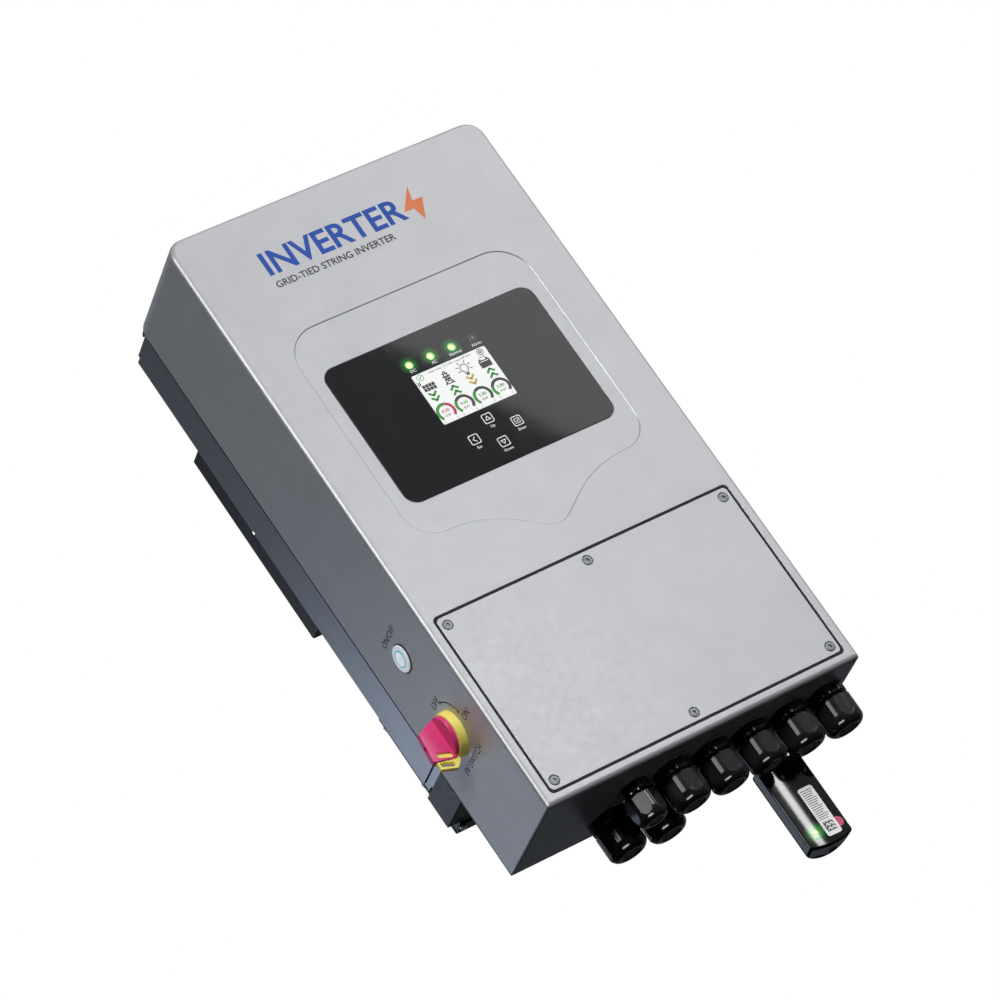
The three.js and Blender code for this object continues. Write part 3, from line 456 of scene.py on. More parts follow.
def fill(bm, *loops):
    """Fills the flat area inside the first loop and outside the others."""
    if len(loops) == 1:
        bm.faces.new(loops[0])
        return
    edges = [bm.edges.get(pair) for loop in loops for pair in zip(loop, loop[1:] + loop[:1])]
    bmesh.ops.triangle_fill(bm, use_beauty=True, use_dissolve=False, edges=edges)


def wall(bm, levels, place):
    """Skins levels of (outline, inset, w), and gives back the first and the last ring."""
    rings = skin(bm, [[place(u, v, w) for u, v in outline(inset)] for outline, inset, w in levels])
    return rings[0], rings[-1]


def eased(radius, steps=4):
    """(inset, drop) pairs that round an edge from the face to the side."""
    turns = [math.pi / 2 * step / steps for step in range(steps + 1)]
    return [(radius * (1 - math.sin(turn)), radius * (1 - math.cos(turn))) for turn in turns]


def rim(outline, front, back, edge, grow=1):
    """Levels from the front face to the back face with both edges rounded; grow is -1 for a hole."""
    way = math.copysign(1, back - front)
    levels = [(outline, grow * inset, front + way * drop) for inset, drop in eased(edge)]
    return levels + [(outline, grow * inset, back - way * drop) for inset, drop in reversed(eased(edge))]


def plate(bm, outline, front, back, place, edge=0.4, holes=()):
    """A plate with rounded edges. A hole is an outline, or a list of levels from front to back."""
    rings = [wall(bm, rim(outline, front, back, edge), place)]
    for hole in holes:
        levels = rim(hole, front, back, edge, -1) if callable(hole) else hole
        rings.append(wall(bm, levels, place))
    for side in (0, 1):
        fill(bm, *[ring[side] for ring in rings])


def pan(bm, outline, face, brim, sheet, edge, place, holes):
    """A tray of thin sheet: a flat face with holes in it, and a wall that stands round it up to a brim."""
    way = math.copysign(1, brim - face)
    inner = face + way * sheet
    levels = [(outline, inset, face + way * drop) for inset, drop in eased(edge)]
    levels += [(outline, 0, brim), (outline, sheet, brim), (outline, sheet, inner)]
    rings = [wall(bm, levels, place)]
    for hole in holes:
        rings.append(wall(bm, [(hole, -0.3, face), (hole, 0, face + way * 0.3), (hole, 0, inner)], place))
    for side in (0, 1):
        fill(bm, *[ring[side] for ring in rings])


def turned(bm, profile, place, steps=64, flats=None, closed=True, twist=0.0):
    """A turned solid of (radius, w) points. flats cuts it to a hexagon that wide, turned by twist."""
    sector = math.tau / 6
    rings = []
    for radius, height in profile:
        ring = []
        for turn in turns_of(steps):
            reach = max(radius, 0.0)
            if flats:
                off = (turn - twist + sector / 2) % sector - sector / 2
                reach = min(reach, flats / math.cos(off))
            ring.append(place(*spoke(reach, turn), height))
        rings.append(ring)
    skin(bm, rings, closed)


def turned_rod(bm, radius, low, high, place, edge=0.0, steps=48):
    """A plain rod; its ends are rounded by edge."""
    ends = eased(edge) if edge else [(0, 0)]
    profile = [(0, low)] + [(radius - inset, low + drop) for inset, drop in ends]
    profile += [(radius - inset, high - drop) for inset, drop in reversed(ends)] + [(0, high)]
    turned(bm, profile, place, steps, closed=False)


def tube(bm, path, radius, closed=False, steps=8):
    """A round wire through points."""
    rings = []
    count = len(path)
    spots = [Vector(spot) for spot in path]
    for index, spot in enumerate(spots):
        before = spots[(index - 1) % count] if closed or index else spot
        after = spots[(index + 1) % count] if closed or index < count - 1 else spot
        along = (after - before).normalized()
        side = along.orthogonal() if abs(along.z) > 0.9 else along.cross(Vector((0, 0, 1)))
        side.normalize()
        other = along.cross(side)
        around = [spoke(radius, turn) for turn in turns_of(steps)]
        rings.append([spot + u * side + v * other for u, v in around])
    if closed:
        skin(bm, rings, closed)
    else:
        loft(bm, rings)


def object_of(bm, name):
    """Makes an object of a drawing, and uses the drawing up."""
    mesh = bpy.data.meshes.new(name)
    bm.to_mesh(mesh)
    bm.free()
    made = bpy.data.objects.new(name, mesh)
    scene.collection.objects.link(made)
    return made


def evaluated_mesh(shape):
    """A copy of an object's mesh, made with its modifiers."""
    return bpy.data.meshes.new_from_object(shape.evaluated_get(bpy.context.evaluated_depsgraph_get()))


def cleaned(bm):
    """Joins doubled points and turns the faces outwards."""
    bmesh.ops.remove_doubles(bm, verts=bm.verts, dist=0.0005)
    bmesh.ops.recalc_face_normals(bm, faces=bm.faces)


def carved(whole, tools):
    """whole with the tools cut out of it."""
    cleaned(whole)
    cleaned(tools)
    first, second = object_of(whole, "whole"), object_of(tools, "tools")
    cutting = first.modifiers.new("cutting", "BOOLEAN")
    cutting.operation = "DIFFERENCE"
    cutting.solver = "EXACT"
    cutting.use_self = True
    cutting.object = second
    result = bmesh.new()
    result.from_mesh(evaluated_mesh(first))
    for spare in (first, second):
        bpy.data.objects.remove(spare)
    return result


def add(bm, more):
    """Adds another drawing to a drawing."""
    spare = bpy.data.meshes.new("more")
    more.to_mesh(spare)
    more.free()
    bm.from_mesh(spare)


def put(name, bm, slot, body="cabinet", stands_for=(), finish=None, sharp=SHARP):
    """Makes a piece of a drawing: smooth up to an angle, in its finish, riding on its body."""
    cleaned(bm)
    bm.transform(TO_ROW)
    piece = object_of(bm, name)
    piece.data.shade_smooth()
    piece.data.set_sharp_from_angle(angle=math.radians(sharp))
    normals = piece.modifiers.new("normals", "WEIGHTED_NORMAL")
    normals.keep_sharp = True
    piece.data.materials.append(MATERIALS[finish or slot])
    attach(piece, body)
    if stands_for:
        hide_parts(*stands_for)


def stand_in(node, suffix, bm, slot, body="cabinet", sharp=SHARP):
    """Makes the piece that stands for a CAD node, and is named after it."""
    put(f"{node}_{suffix}", bm, slot, body, [node], sharp=sharp)


def put_turned(
    name, profile, place, slot, body="cabinet", stands_for=(), finish=None, steps=64, closed=True,
):
    """Makes a piece of one turned solid."""
    bm = bmesh.new()
    turned(bm, profile, place, steps, closed=closed)
    put(name, bm, slot, body, stands_for, finish)


def keep(node, slot):
    """Keeps a CAD node, with its edges eased and its finish on."""
    piece = frame["nodes"][node]
    flat = piece.modifiers.new("flat", "DECIMATE")
    flat.decimate_type = "DISSOLVE"
    flat.angle_limit = math.radians(1)
    easing = piece.modifiers.new("easing", "BEVEL")
    easing.width = KEPT_EDGE * MM
    easing.segments = 2
    easing.limit_method = "ANGLE"
    easing.angle_limit = math.radians(SHARP)
    piece.modifiers.new("normals", "WEIGHTED_NORMAL")
    piece.data.materials.clear()
    piece.data.materials.append(MATERIALS[slot])


# ---- Printing: thin ink on a surface ----

INK = 0.12


def lettering(bm, text, size, place, across=0.0, up=0.0, align="CENTER", bold=0.0):
    """Adds printed text, drawn in the plane."""
    curve = bpy.data.curves.new("text", "FONT")
    curve.body = text
    curve.size = size
    curve.align_x = align
    curve.align_y = "CENTER"
    curve.offset = bold
    curve.extrude = INK / 2
    curve.resolution_u = 3
    spare = bpy.data.objects.new("text", curve)
    scene.collection.objects.link(spare)
    mesh = evaluated_mesh(spare)
    bpy.data.objects.remove(spare)
    spots = []
    for vertex in mesh.vertices:
        u, v, w = vertex.co
        spots.append(bm.verts.new(place(across + u, up + v, INK / 2 + w)))
    for face in mesh.polygons:
        bm.faces.new([spots[index] for index in face.vertices])


def inked(bm, outline, place, holes=(), lift=INK):
    """Adds a flat printed shape."""
    plate(bm, outline, lift, 0.0, place, 0.01, holes)


def band(bm, across, up, radius, width, start, end, place):
    """Adds a printed arc of a ring, angles in degrees counter-clockwise from the right."""
    steps = max(6, int(abs(end - start) / 8))
    outer = arc_points(across, up, radius + width / 2, start, end, steps)
    inner = arc_points(across, up, radius - width / 2, end, start, steps)
    inked(bm, traced(outer + inner), place)


def stroke(bm, points, width, place):
    """Adds a printed line through points."""
    for start, end in pairwise(Vector(spot) for spot in points):
        along = (end - start).normalized()
        side = along.orthogonal() * width / 2
        reach = along * width * 0.3
        low, high = start - reach, end + reach
        corners = (low - side, high - side, high + side, low + side)
        inked(bm, traced([tuple(corner) for corner in corners]), place)


# ---- Cabinet ----

SHEET = 2
CABINET_EDGE = 4.5
CABINET_TOP_CORNER = 17
CABINET_FOOT_CORNER = 2.5
cabinet_outline = block(
    CABINET.x0, CABINET.x1, CABINET.z0, CABINET.z1, CABINET_FOOT_CORNER, CABINET_TOP_CORNER, 12,
)

SHIELD_HALF = 123
SHIELD_TOP = 178
SHIELD_TOP_CORNER = 33
SHIELD_FOOT = -15
SHIELD_FOOT_CORNER = 28
SHIELD_TIP = -79
SHIELD_DEPTH = 0.8
SHIELD_SLOPE = 1.4

POCKET_BACK = 2.0
GLASS_CORNER = 13
SEAT_INSET = 6
SEAT_CORNER = 8
SEAT_RIM = 10
SEAT_BACK = 4

HATCH_CLEARANCE = 2.3
HATCH_CORNER = 5
HATCH_FLOOR = 6
HATCH_LEDGE = 2
OPENING_CORNER = 6

Gland = namedtuple("Gland", "name x y thread flange flats bore neck nut twist scale")
BIG = {
    "thread": 15.2, "flange": 19, "flats": 18.2, "bore": 9.5, "neck": 14.6, "nut": 19.3,
    "twist": math.radians(30), "scale": 1.0,
}
SMALL = {
    "thread": 12, "flange": 15.2, "flats": 14.4, "bore": 7.2, "neck": 11.4, "nut": 15.6,
    "twist": 0.0, "scale": 0.93,
}


def find_glands():
    found = []
    for name in ("small", "front_1", "front_2", "front_3", "front_4", "front_5", "rear_1", "rear_2"):
        body = span(f"gland_body_{name}")
        found.append(Gland(name, body.x, body.y, **(SMALL if name == "small" else BIG)))
    return found


GLANDS = find_glands()


def shield_points():
    """The shallow recess round the display, with a pointed foot."""
    foot_x = SHIELD_HALF - SHIELD_FOOT_CORNER
    foot_z = SHIELD_FOOT - SHIELD_FOOT_CORNER
    shoulder = SHIELD_HALF - SHIELD_TOP_CORNER, SHIELD_TOP - SHIELD_TOP_CORNER
    near_tip = 0.19 * foot_x, SHIELD_TIP
    near_side = 0.4 * foot_x, foot_z
    right = curve_points((0, SHIELD_TIP), near_tip, near_side, (foot_x, foot_z), 20)
    right += arc_points(foot_x, SHIELD_FOOT, SHIELD_FOOT_CORNER, -90, 0)
    right += arc_points(*shoulder, SHIELD_TOP_CORNER, 0, 90)
    return right + [(-u, v) for u, v in right[:0:-1]]


def grown(box, by, corner):
    """A box's outline seen from the front, larger all round by a measure."""
    return block(box.x0 - by, box.x1 + by, box.z0 - by, box.z1 + by, corner)


def front_cover():
    bm = bmesh.new()
    place = on_front()
    depth = CABINET.y1
    outside = [(cabinet_outline, inset, drop) for inset, drop in eased(CABINET_EDGE, 8)]
    outside += [(cabinet_outline, 0, depth - 0.4), (cabinet_outline, 0.4, depth)]
    outside += [(cabinet_outline, SHEET, depth), (cabinet_outline, SHEET, SHEET)]
    face, skin_edge = wall(bm, outside, place)

    shield = traced(shield_points())
    slope = []
    for step in range(7):
        t = step / 6
        slope.append((shield, SHIELD_SLOPE * (t - 0.5), SHIELD_DEPTH * t * t * (3 - 2 * t)))
    shield_top, shield_floor = wall(bm, slope, place)

    pocket = grown(GLASS, 0.3, GLASS_CORNER)
    seat = grown(GLASS, -SEAT_INSET, SEAT_CORNER)
    rim_outer = grown(GLASS, SEAT_RIM - SEAT_INSET, SEAT_CORNER + SEAT_RIM)
    levels = [(pocket, -0.25, SHIELD_DEPTH), (pocket, 0, SHIELD_DEPTH + 0.25), (pocket, 0, POCKET_BACK)]
    levels += [(seat, 0, POCKET_BACK), (seat, 0, SEAT_BACK), (rim_outer, 0, SEAT_BACK), (rim_outer, 0, SHEET)]
    pocket_top, rim_foot = wall(bm, levels, place)

    hatch = grown(COVER, HATCH_CLEARANCE, HATCH_CORNER)
    opening = grown(span("wiring_seal"), -3, OPENING_CORNER)
    levels = [(hatch, -inset, drop) for inset, drop in eased(0.6)]
    levels += [(hatch, 0, HATCH_FLOOR), (opening, 0, HATCH_FLOOR), (opening, 0, HATCH_FLOOR + HATCH_LEDGE)]
    levels += [(hatch, -SHEET, HATCH_FLOOR + HATCH_LEDGE), (hatch, -SHEET, SHEET)]
    hatch_top, tub_foot = wall(bm, levels, place)

    fill(bm, face, shield_top, hatch_top)
    fill(bm, shield_floor, pocket_top)
    fill(bm, skin_edge, rim_foot, tub_foot)

    tools = bmesh.new()
    for gland in GLANDS:
        turned_rod(tools, gland.thread + 0.3, -3, 3, on_underside(gland.x, gland.y))
    turned_rod(tools, 9.3, -3, 3, on_underside(LOGGER_X, SOCKET.y))
    for control, radius in ((BUTTON, 9.8), (BASE, 8)):
        turned_rod(tools, radius, -3, 3, on_left(control.y, control.z))
    stand_in("front_cover", "shell", carved(bm, tools), "cabinet_paint")


SCREW_NAMES = [f"cover_screw_{number}" for number in range(1, 7)]
HEAD_CLEARANCE = 0.4
HEAD_FLOOR = 1.8
HEAD_SEAT = 2.4


def wiring_cover():
    bm = bmesh.new()
    holes = []
    for name in SCREW_NAMES:
        screw = span(name)
        head = round_of(screw.half + HEAD_CLEARANCE, screw.x, screw.z, 40)
        levels = [(head, -inset, COVER.y0 + drop) for inset, drop in eased(0.3)]
        levels += [(head, 0, HEAD_FLOOR), (head, HEAD_SEAT, HEAD_FLOOR), (head, HEAD_SEAT, COVER.y1)]
        holes.append(levels)
    plate(bm, grown(COVER, 0, 4), COVER.y0, COVER.y1, on_front(), 0.5, holes)
    stand_in("wiring_cover", "plate", bm, "cabinet_paint")


def hatch_gap_shade():
    """A dark rubber strip in the gap round the wiring cover: painted shade, put where the gap lies in shadow.
    """
    bm = bmesh.new()
    outside = grown(COVER, HATCH_CLEARANCE - 0.3, HATCH_CORNER)
    plate(bm, outside, 0.7, 1.7, on_front(), 0.15, [grown(COVER, 0.3, HATCH_CORNER - 1.7)])
    put("hatch_gasket_strip", bm, "seal_rubber")


def cover_screws():
    for name in SCREW_NAMES:
        screw = span(name)
        place = on_front(screw.x, screw.y0, screw.z)
        bm = bmesh.new()
        socket = round_of(1.9, steps=6)
        outside, shank = round_of(screw.half, steps=48), round_of(2.0, steps=48)
        levels = [(outside, 1.0, 0.0), (outside, 0.35, 0.12), (outside, 0.0, 0.5), (outside, 0.0, 1.3)]
        levels += [(outside, 0.2, 1.5), (shank, 0.0, 1.5), (shank, 0.0, 10.6), (shank, 0.4, 11.0)]
        face, tip = wall(bm, levels, place)
        mouth, floor = wall(bm, [(socket, -0.1, 0.0), (socket, 0.0, 0.15), (socket, 0.0, 1.0)], place)
        fill(bm, face, mouth)
        fill(bm, floor)
        fill(bm, tip)
        stand_in(name, "turned", bm, "screw_steel")


def case_seal():
    bm = bmesh.new()
    seal = span("case_seal")
    outside, inside = ((lambda inset, away=away: cabinet_outline(away + inset)) for away in (1, 5))
    plate(bm, outside, seal.y0, seal.y1, on_front(), 0.3, [inside])
    stand_in("case_seal", "cord", bm, "seal_rubber")


def rear_plate():
    bm = bmesh.new()
    back = PLATE.y0 + SHEET
    border = 1.5
    window = block(-120, 120, -90, 250, 6)
    plate(bm, lambda inset: cabinet_outline(border + inset), PLATE.y0, back, on_front(), 0.3, [window])
    # A hood stands back from its top edge
    hood_foot = 290
    outer = [spot for spot in cabinet_outline(border) if spot[1] >= hood_foot]
    inner = [spot for spot in cabinet_outline(border + SHEET) if spot[1] >= hood_foot]
    plate(bm, traced(outer + inner[::-1]), back - 0.5, PLATE.y1, on_front(), 0.3)
    stand_in("rear_plate", "sheet", bm, "black_paint")


# ---- Display and keypad ----

KEY_NAMES = ("key_up", "key_back", "key_enter", "key_down")
KEY_CAP_HALF = 5.25
KEY_CORNER = 1.8
LIGHT_X = (-33.5, -11.2, 11.1, 33.2)
LIGHT_Z = 109
LIGHT_RADIUS = 2.8
LIGHT_RING = 3.75
WINDOW = Span(-38.5, 38.5, 0, 0, 45.5, 98.3)
WINDOW_FRONT = 0.6
LIGHT_TEXT_Z = 102.5
KEY_TEXT_DROP = 8.3


def display_glass():
    bm = bmesh.new()
    holes = [grown(WINDOW, 0.3, 1.6)]
    for name in KEY_NAMES:
        key = span(name)
        holes.append(grown(key, KEY_CAP_HALF + 0.3 - key.half, KEY_CORNER + 0.2))
    holes += [round_of(LIGHT_RADIUS + 0.2, x, LIGHT_Z, 32) for x in LIGHT_X]
    levels = [rim(hole, GLASS.y0, GLASS.y1, 0.1, -1) for hole in holes]
    plate(bm, grown(GLASS, 0, GLASS_CORNER), GLASS.y0, GLASS.y1, on_front(), 0.35, levels)
    stand_in("display_glass", "panel", bm, "display_gloss")


def screen():
    bm = bmesh.new()
    plate(bm, grown(WINDOW, 0, 1.5), WINDOW_FRONT, 3.0, on_front(), 0.1)
    plate(bm, grown(SCREEN, 0, 1), 2.2, SCREEN.y1, on_front(), 0.4)
    put("lcd_screen", bm, "screen", stands_for=["lcd_module"])


def status_lights():
    lit, off = bmesh.new(), bmesh.new()
    rings, dull = bmesh.new(), bmesh.new()
    dome = [(0, 0.15), (1.2, 0.2), (2.1, 0.36), (LIGHT_RADIUS, 0.75), (LIGHT_RADIUS, 5.0), (0, 5.0)]
    for x, lens, edge in zip(LIGHT_X, (lit, lit, lit, off), (rings, rings, rings, dull)):
        turned(lens, dome, on_front(x, 0, LIGHT_Z), 32, closed=False)
        hole = round_of(LIGHT_RADIUS + 0.25, x, LIGHT_Z, 40)
        plate(edge, round_of(LIGHT_RING, x, LIGHT_Z, 40), 0.42, 0.52, on_front(), 0.02, [hole])
    bar = block(LIGHT_X[0] - 4, LIGHT_X[-1] + 4, LIGHT_Z - 2.5, LIGHT_Z + 2.5, 0.8)
    plate(off, bar, 4.0, 6.0, on_front(), 0.2)
    put("status_lenses_lit", lit, "light_guide")
    put("status_lens_off", off, "light_guide", stands_for=["light_guide"], finish="lamp_off")
    put("status_rings_lit", rings, "display_gloss", finish="lamp_ring")
    # Its ink_grey finish glows a little: painted light on an unlit ring
    put("status_ring_off", dull, "display_gloss", finish="ink_grey")


KEY_SIGNS = {
    "key_up": [[(-2.3, -1.4), (0, 2.2), (2.3, -1.4), (-2.3, -1.4)]],
    "key_down": [[(-2.3, 1.4), (0, -2.2), (2.3, 1.4), (-2.3, 1.4)]],
    "key_back": [[(1.2, 2.5), (-1.4, 0), (1.2, -2.5)]],
    "key_enter": [
        [(-2.3, -2.3), (2.3, -2.3), (2.3, 2.3), (-2.3, 2.3), (-2.3, -2.3)],
        [(-1.1, 0.1), (-0.2, -1.0), (1.6, 1.3)],
    ],
}


def keys():
    for name in KEY_NAMES:
        key = span(name)
        bm = bmesh.new()
        place = on_front(key.x, 0, key.z)
        plate(bm, square(KEY_CAP_HALF, KEY_CORNER), key.y0, 2.5, place, 0.2)
        plate(bm, square(key.half, 0.6), 2.2, key.y1, place, 0.15)
        stand_in(name, "cap", bm, "display_gloss", name)
        print_bm = bmesh.new()
        place = over_front(key.x, key.y0, key.z)
        inked(print_bm, square(5.0, 1.7), place, [square(4.05, 1.1)])
        for line in KEY_SIGNS[name]:
            stroke(print_bm, line, 0.68 if name == "key_enter" else 0.85, place)
        put(name + "_print", print_bm, "display_gloss", name, finish="ink_white")


def glass_print():
    bm = bmesh.new()
    place = over_front(depth=GLASS.y0)
    for x, text in zip(LIGHT_X, ("DC", "AC", "Normal", "Alarm")):
        lettering(bm, text, 4.1, place, x, LIGHT_TEXT_Z, bold=0.06)
    for name, text in zip(KEY_NAMES, ("Up", "Esc", "Enter", "Down")):
        key = span(name)
        lettering(bm, text, 3.8, place, key.x, key.z - KEY_TEXT_DROP, bold=0.06)
    put("keypad_lettering", bm, "display_gloss", finish="ink_white")


GAUGE_RADIUS = 7.9
GAUGE_WIDTH = 2.8
GAUGE_START = 225
GAUGE_END = -42


def solar_sign(bm, place):
    """A panel of eight cells with a sun at its corner, drawn round its middle."""
    for column in range(4):
        for row in range(2):
            left = -6.0 + column * 3.2
            low = -3.9 + row * 3.6
            inked(bm, block(left, left + 2.8, low, low + 3.2, 0.2, steps=2), place)
    sun = -6.6, 5.0
    band(bm, *sun, 1.0, 0.9, 0, 359, place)
    for turn in (60, 120, 180, 240):
        stroke(bm, [spoke(reach, math.radians(turn), *sun) for reach in (1.9, 2.9)], 0.5, place)


def pylon_sign(bm, place):
    """A lattice mast with three arms."""
    line = 0.95
    stroke(bm, [(-3.4, -6.0), (-0.9, 6.2), (0.9, 6.2), (3.4, -6.0)], line, place)
    for half, height in ((3.0, 4.2), (3.8, 1.4), (2.4, -1.6)):
        stroke(bm, [(-half, height), (half, height)], line, place)
    stroke(bm, [(-3.2, -5.4), (2.0, -1.6), (-1.6, 1.4)], line * 0.8, place)
    stroke(bm, [(3.2, -5.4), (-2.0, -1.6), (1.6, 1.4)], line * 0.8, place)
    stroke(bm, [(-4.4, -6.0), (4.4, -6.0)], line, place)


def lamp_sign(bm, place):
    """A bulb with its cap below and rays round it."""
    band(bm, 0, 1.0, 3.7, 0.75, -55, 235, place)
    stroke(bm, [(-2.1, -2.0), (-1.4, -4.2), (1.4, -4.2), (2.1, -2.0)], 0.75, place)
    inked(bm, block(-1.6, 1.6, -6.6, -4.8, 0.4, steps=3), place)
    for turn in (-20, 20, 60, 120, 160, 200):
        stroke(bm, [spoke(reach, math.radians(turn), 0, 1.0) for reach in (5.2, 7.6)], 0.7, place)


def battery_sign(bm, place):
    """A filled battery with two terminals."""
    inked(bm, block(-5.6, 5.6, -4.2, 3.4, 0.5), place, [block(-4.4, 4.4, 1.6, 2.3, 0.2, steps=2)])
    for left in (-4.6, 2.2):
        inked(bm, block(left, left + 2.4, 3.6, 4.8, 0.2, steps=2), place)


def chevrons(bm, across, up, down, place):
    """Two arrow heads, one above the other."""
    tip = -3.0 if down else 3.0
    for height in (up - 2.6, up + 2.6):
        ends = height - tip / 2
        stroke(bm, [(across - 3.5, ends), (across, ends + tip), (across + 3.5, ends)], 2.1, place)


def screen_graphics():
    green, red, yellow, dark, grey = [bmesh.new() for layer in range(5)]
    place = over_front(depth=WINDOW_FRONT)
    band(green, -31.6, 94.2, 3.1, 0.5, 0, 359, place)
    stroke(green, [(-33.0, 94.3), (-31.9, 92.9), (-29.9, 95.9)], 0.6, place)
    lettering(grey, "Solar today 12.5 kWh  total 340 kWh", 2.9, place, 0.3, 95.6)
    for radius, width in ((2.8, 0.7), (1.0, 0.9)):
        band(dark, 31.6, 94.4, radius, width, 0, 359, place)
    lettering(grey, "50.00", 3.0, place, 30.4, 89.4)
    for sign, x, z in (
        (solar_sign, -29.4, 83.6), (pylon_sign, -9.8, 84.6), (lamp_sign, 9.6, 85.6),
        (battery_sign, 29.7, 83.0),
    ):
        sign(dark, over_front(x, WINDOW_FRONT, z))
    for ink, x, z, down in (
        (green, -30.2, 73.2, True), (green, -9.8, 71.2, False), (yellow, 9.6, 73.4, True),
        (green, 29.6, 72.4, False),
    ):
        chevrons(ink, x, z, down, place)
    for x, z, split, second, ink, reading in (
        (-29.5, 55.8, 72, red, red, "8.30"), (-10, 55.9, 142, dark, green, "4.65"),
        (9.5, 56.1, 126, dark, green, "5.00"), (29.1, 56.7, 158, dark, green, "3.80"),
    ):
        band(green, x, z, GAUGE_RADIUS, GAUGE_WIDTH, split, GAUGE_START, place)
        band(second, x, z, GAUGE_RADIUS, GAUGE_WIDTH, GAUGE_END, split - 1, place)
        lettering(ink, reading, 4.4, place, x, z + 1.2, bold=0.06)
        lettering(dark, "KW", 3.4, place, x, z - 3.6)
        for text, away in (("0", -6.6), ("12", 6.6)):
            lettering(grey, text, 2.4, place, x + away, z - 8.8)
    for name, bm in (("green", green), ("red", red), ("yellow", yellow), ("dark", dark)):
        put("screen_" + name, bm, "screen", finish="pixel_" + name)
    put("screen_grey", grey, "screen", finish="ink_grey")


# ---- Printing on the cabinet ----

SWING_RADIUS = 28
SWING_START, SWING_END = 14, 68
SIDE_TEXT = 9.5


def cabinet_print():
    black, blue, orange = bmesh.new(), bmesh.new(), bmesh.new()
    front = over_front()
    # A plain badge: a generic word with a bolt after it
    inked(orange, traced([(64, 230), (74, 251), (63.5, 251), (67.5, 266), (50, 243.5), (60, 243.5)]), front)
    lettering(blue, "INVERTER", 33, front, -97, 247, "LEFT", 0.7)
    lettering(black, "GRID-TIED STRING INVERTER", 9.4, front, -96, 226, "LEFT", 0.12)
    for text, y, z in (
        ("ON/OFF", BUTTON.y, -84.5), ("OFF", 60.5, -157), ("ON", 27, -189), ("PV SWITCH", BASE.y - 2, -216),
    ):
        lettering(black, text, SIDE_TEXT, on_left(y, z))
    # A double arrow round the switch, from OFF to ON
    swing = on_left(BASE.y, BASE.z)
    band(black, 0, 0, SWING_RADIUS, 1.1, SWING_START, SWING_END, swing)
    for turn, point, sides in ((SWING_START, -6, (2.2, -2.2)), (SWING_END, 6, (-2.2, 2.2))):
        head = [spoke(SWING_RADIUS, math.radians(turn + point))]
        head += [spoke(SWING_RADIUS + side, math.radians(turn)) for side in sides]
        inked(black, traced(head), swing)
    for gland in GLANDS:
        if gland.name.startswith("front"):
            lettering(black, "AC" if gland.x > 50 else "COM", 6, on_underside(gland.x, 22))
    lettering(black, "+", 8, on_underside(-80, 66.5))
    put("cabinet_lettering", black, "cabinet_paint", finish="ink_black")
    put("badge_word", blue, "cabinet_paint", finish="ink_blue")
    put("badge_bolt", orange, "cabinet_paint", finish="ink_orange")


# ---- Left side controls ----


def power_button():
    place = on_left(BUTTON.y, BUTTON.z)
    bezel = [(8.6, 2.2), (8.9, 2.5), (11.3, 2.5), (12.1, 1.9), (12.3, 1.2), (12.3, 0.3), (9.5, 0.3)]
    bezel += [(9.5, -24), (8.2, -24), (8.2, -12), (8.6, -11.5)]
    # A black ring round the bezel's foot: partly a real seal, partly painted shade round the bezel
    seal_and_shade = [(12.4, 0.05), (13.2, 0.05), (13.35, 0.4), (13.1, 0.8), (12.4, 0.8)]
    light_ring = [(6.75, 2.55), (8.15, 2.45), (8.2, 2.2), (8.2, -8), (6.75, -8)]
    cap = [(0, 2.4), (5, 2.45), (6.3, 2.6), (6.6, 2.55), (6.7, 2.3), (6.7, -8), (0, -8)]
    put_turned("button_bezel_ring", bezel, place, "button_ring", stands_for=["button_bezel"])
    put_turned("button_gasket", seal_and_shade, place, "seal_rubber")
    put_turned("button_light_ring", light_ring, place, "button_cap", "power_button", finish="cyan_light")
    put_turned("button_cap_disc", cap, place, "button_cap", "power_button", ["button_cap"], closed=False)


BAR_HALF = 3.75
BAR_HIGH_TIP = 30
BAR_LOW_TIP = 33
TAB_HALF = 2.4
TAB_CLEAR = 0.3
TAB_NEAR = 13.6
TAB_FAR = 30.5
ARM_ROOM_TOP = -14
TOOL_FOOT = -40
DISC_RADIUS = 19
BASE_RADIUS = 21
LOCK_SLOT = Vector((20.7, -15.3))
LOCK_SLOT_TILT = math.radians(22)


def side_view(y, z):
    """Outlines are (out, up) beside the left side; w runs along y."""
    return lambda u, v, w: (LEFT - u, y + w, z + v)


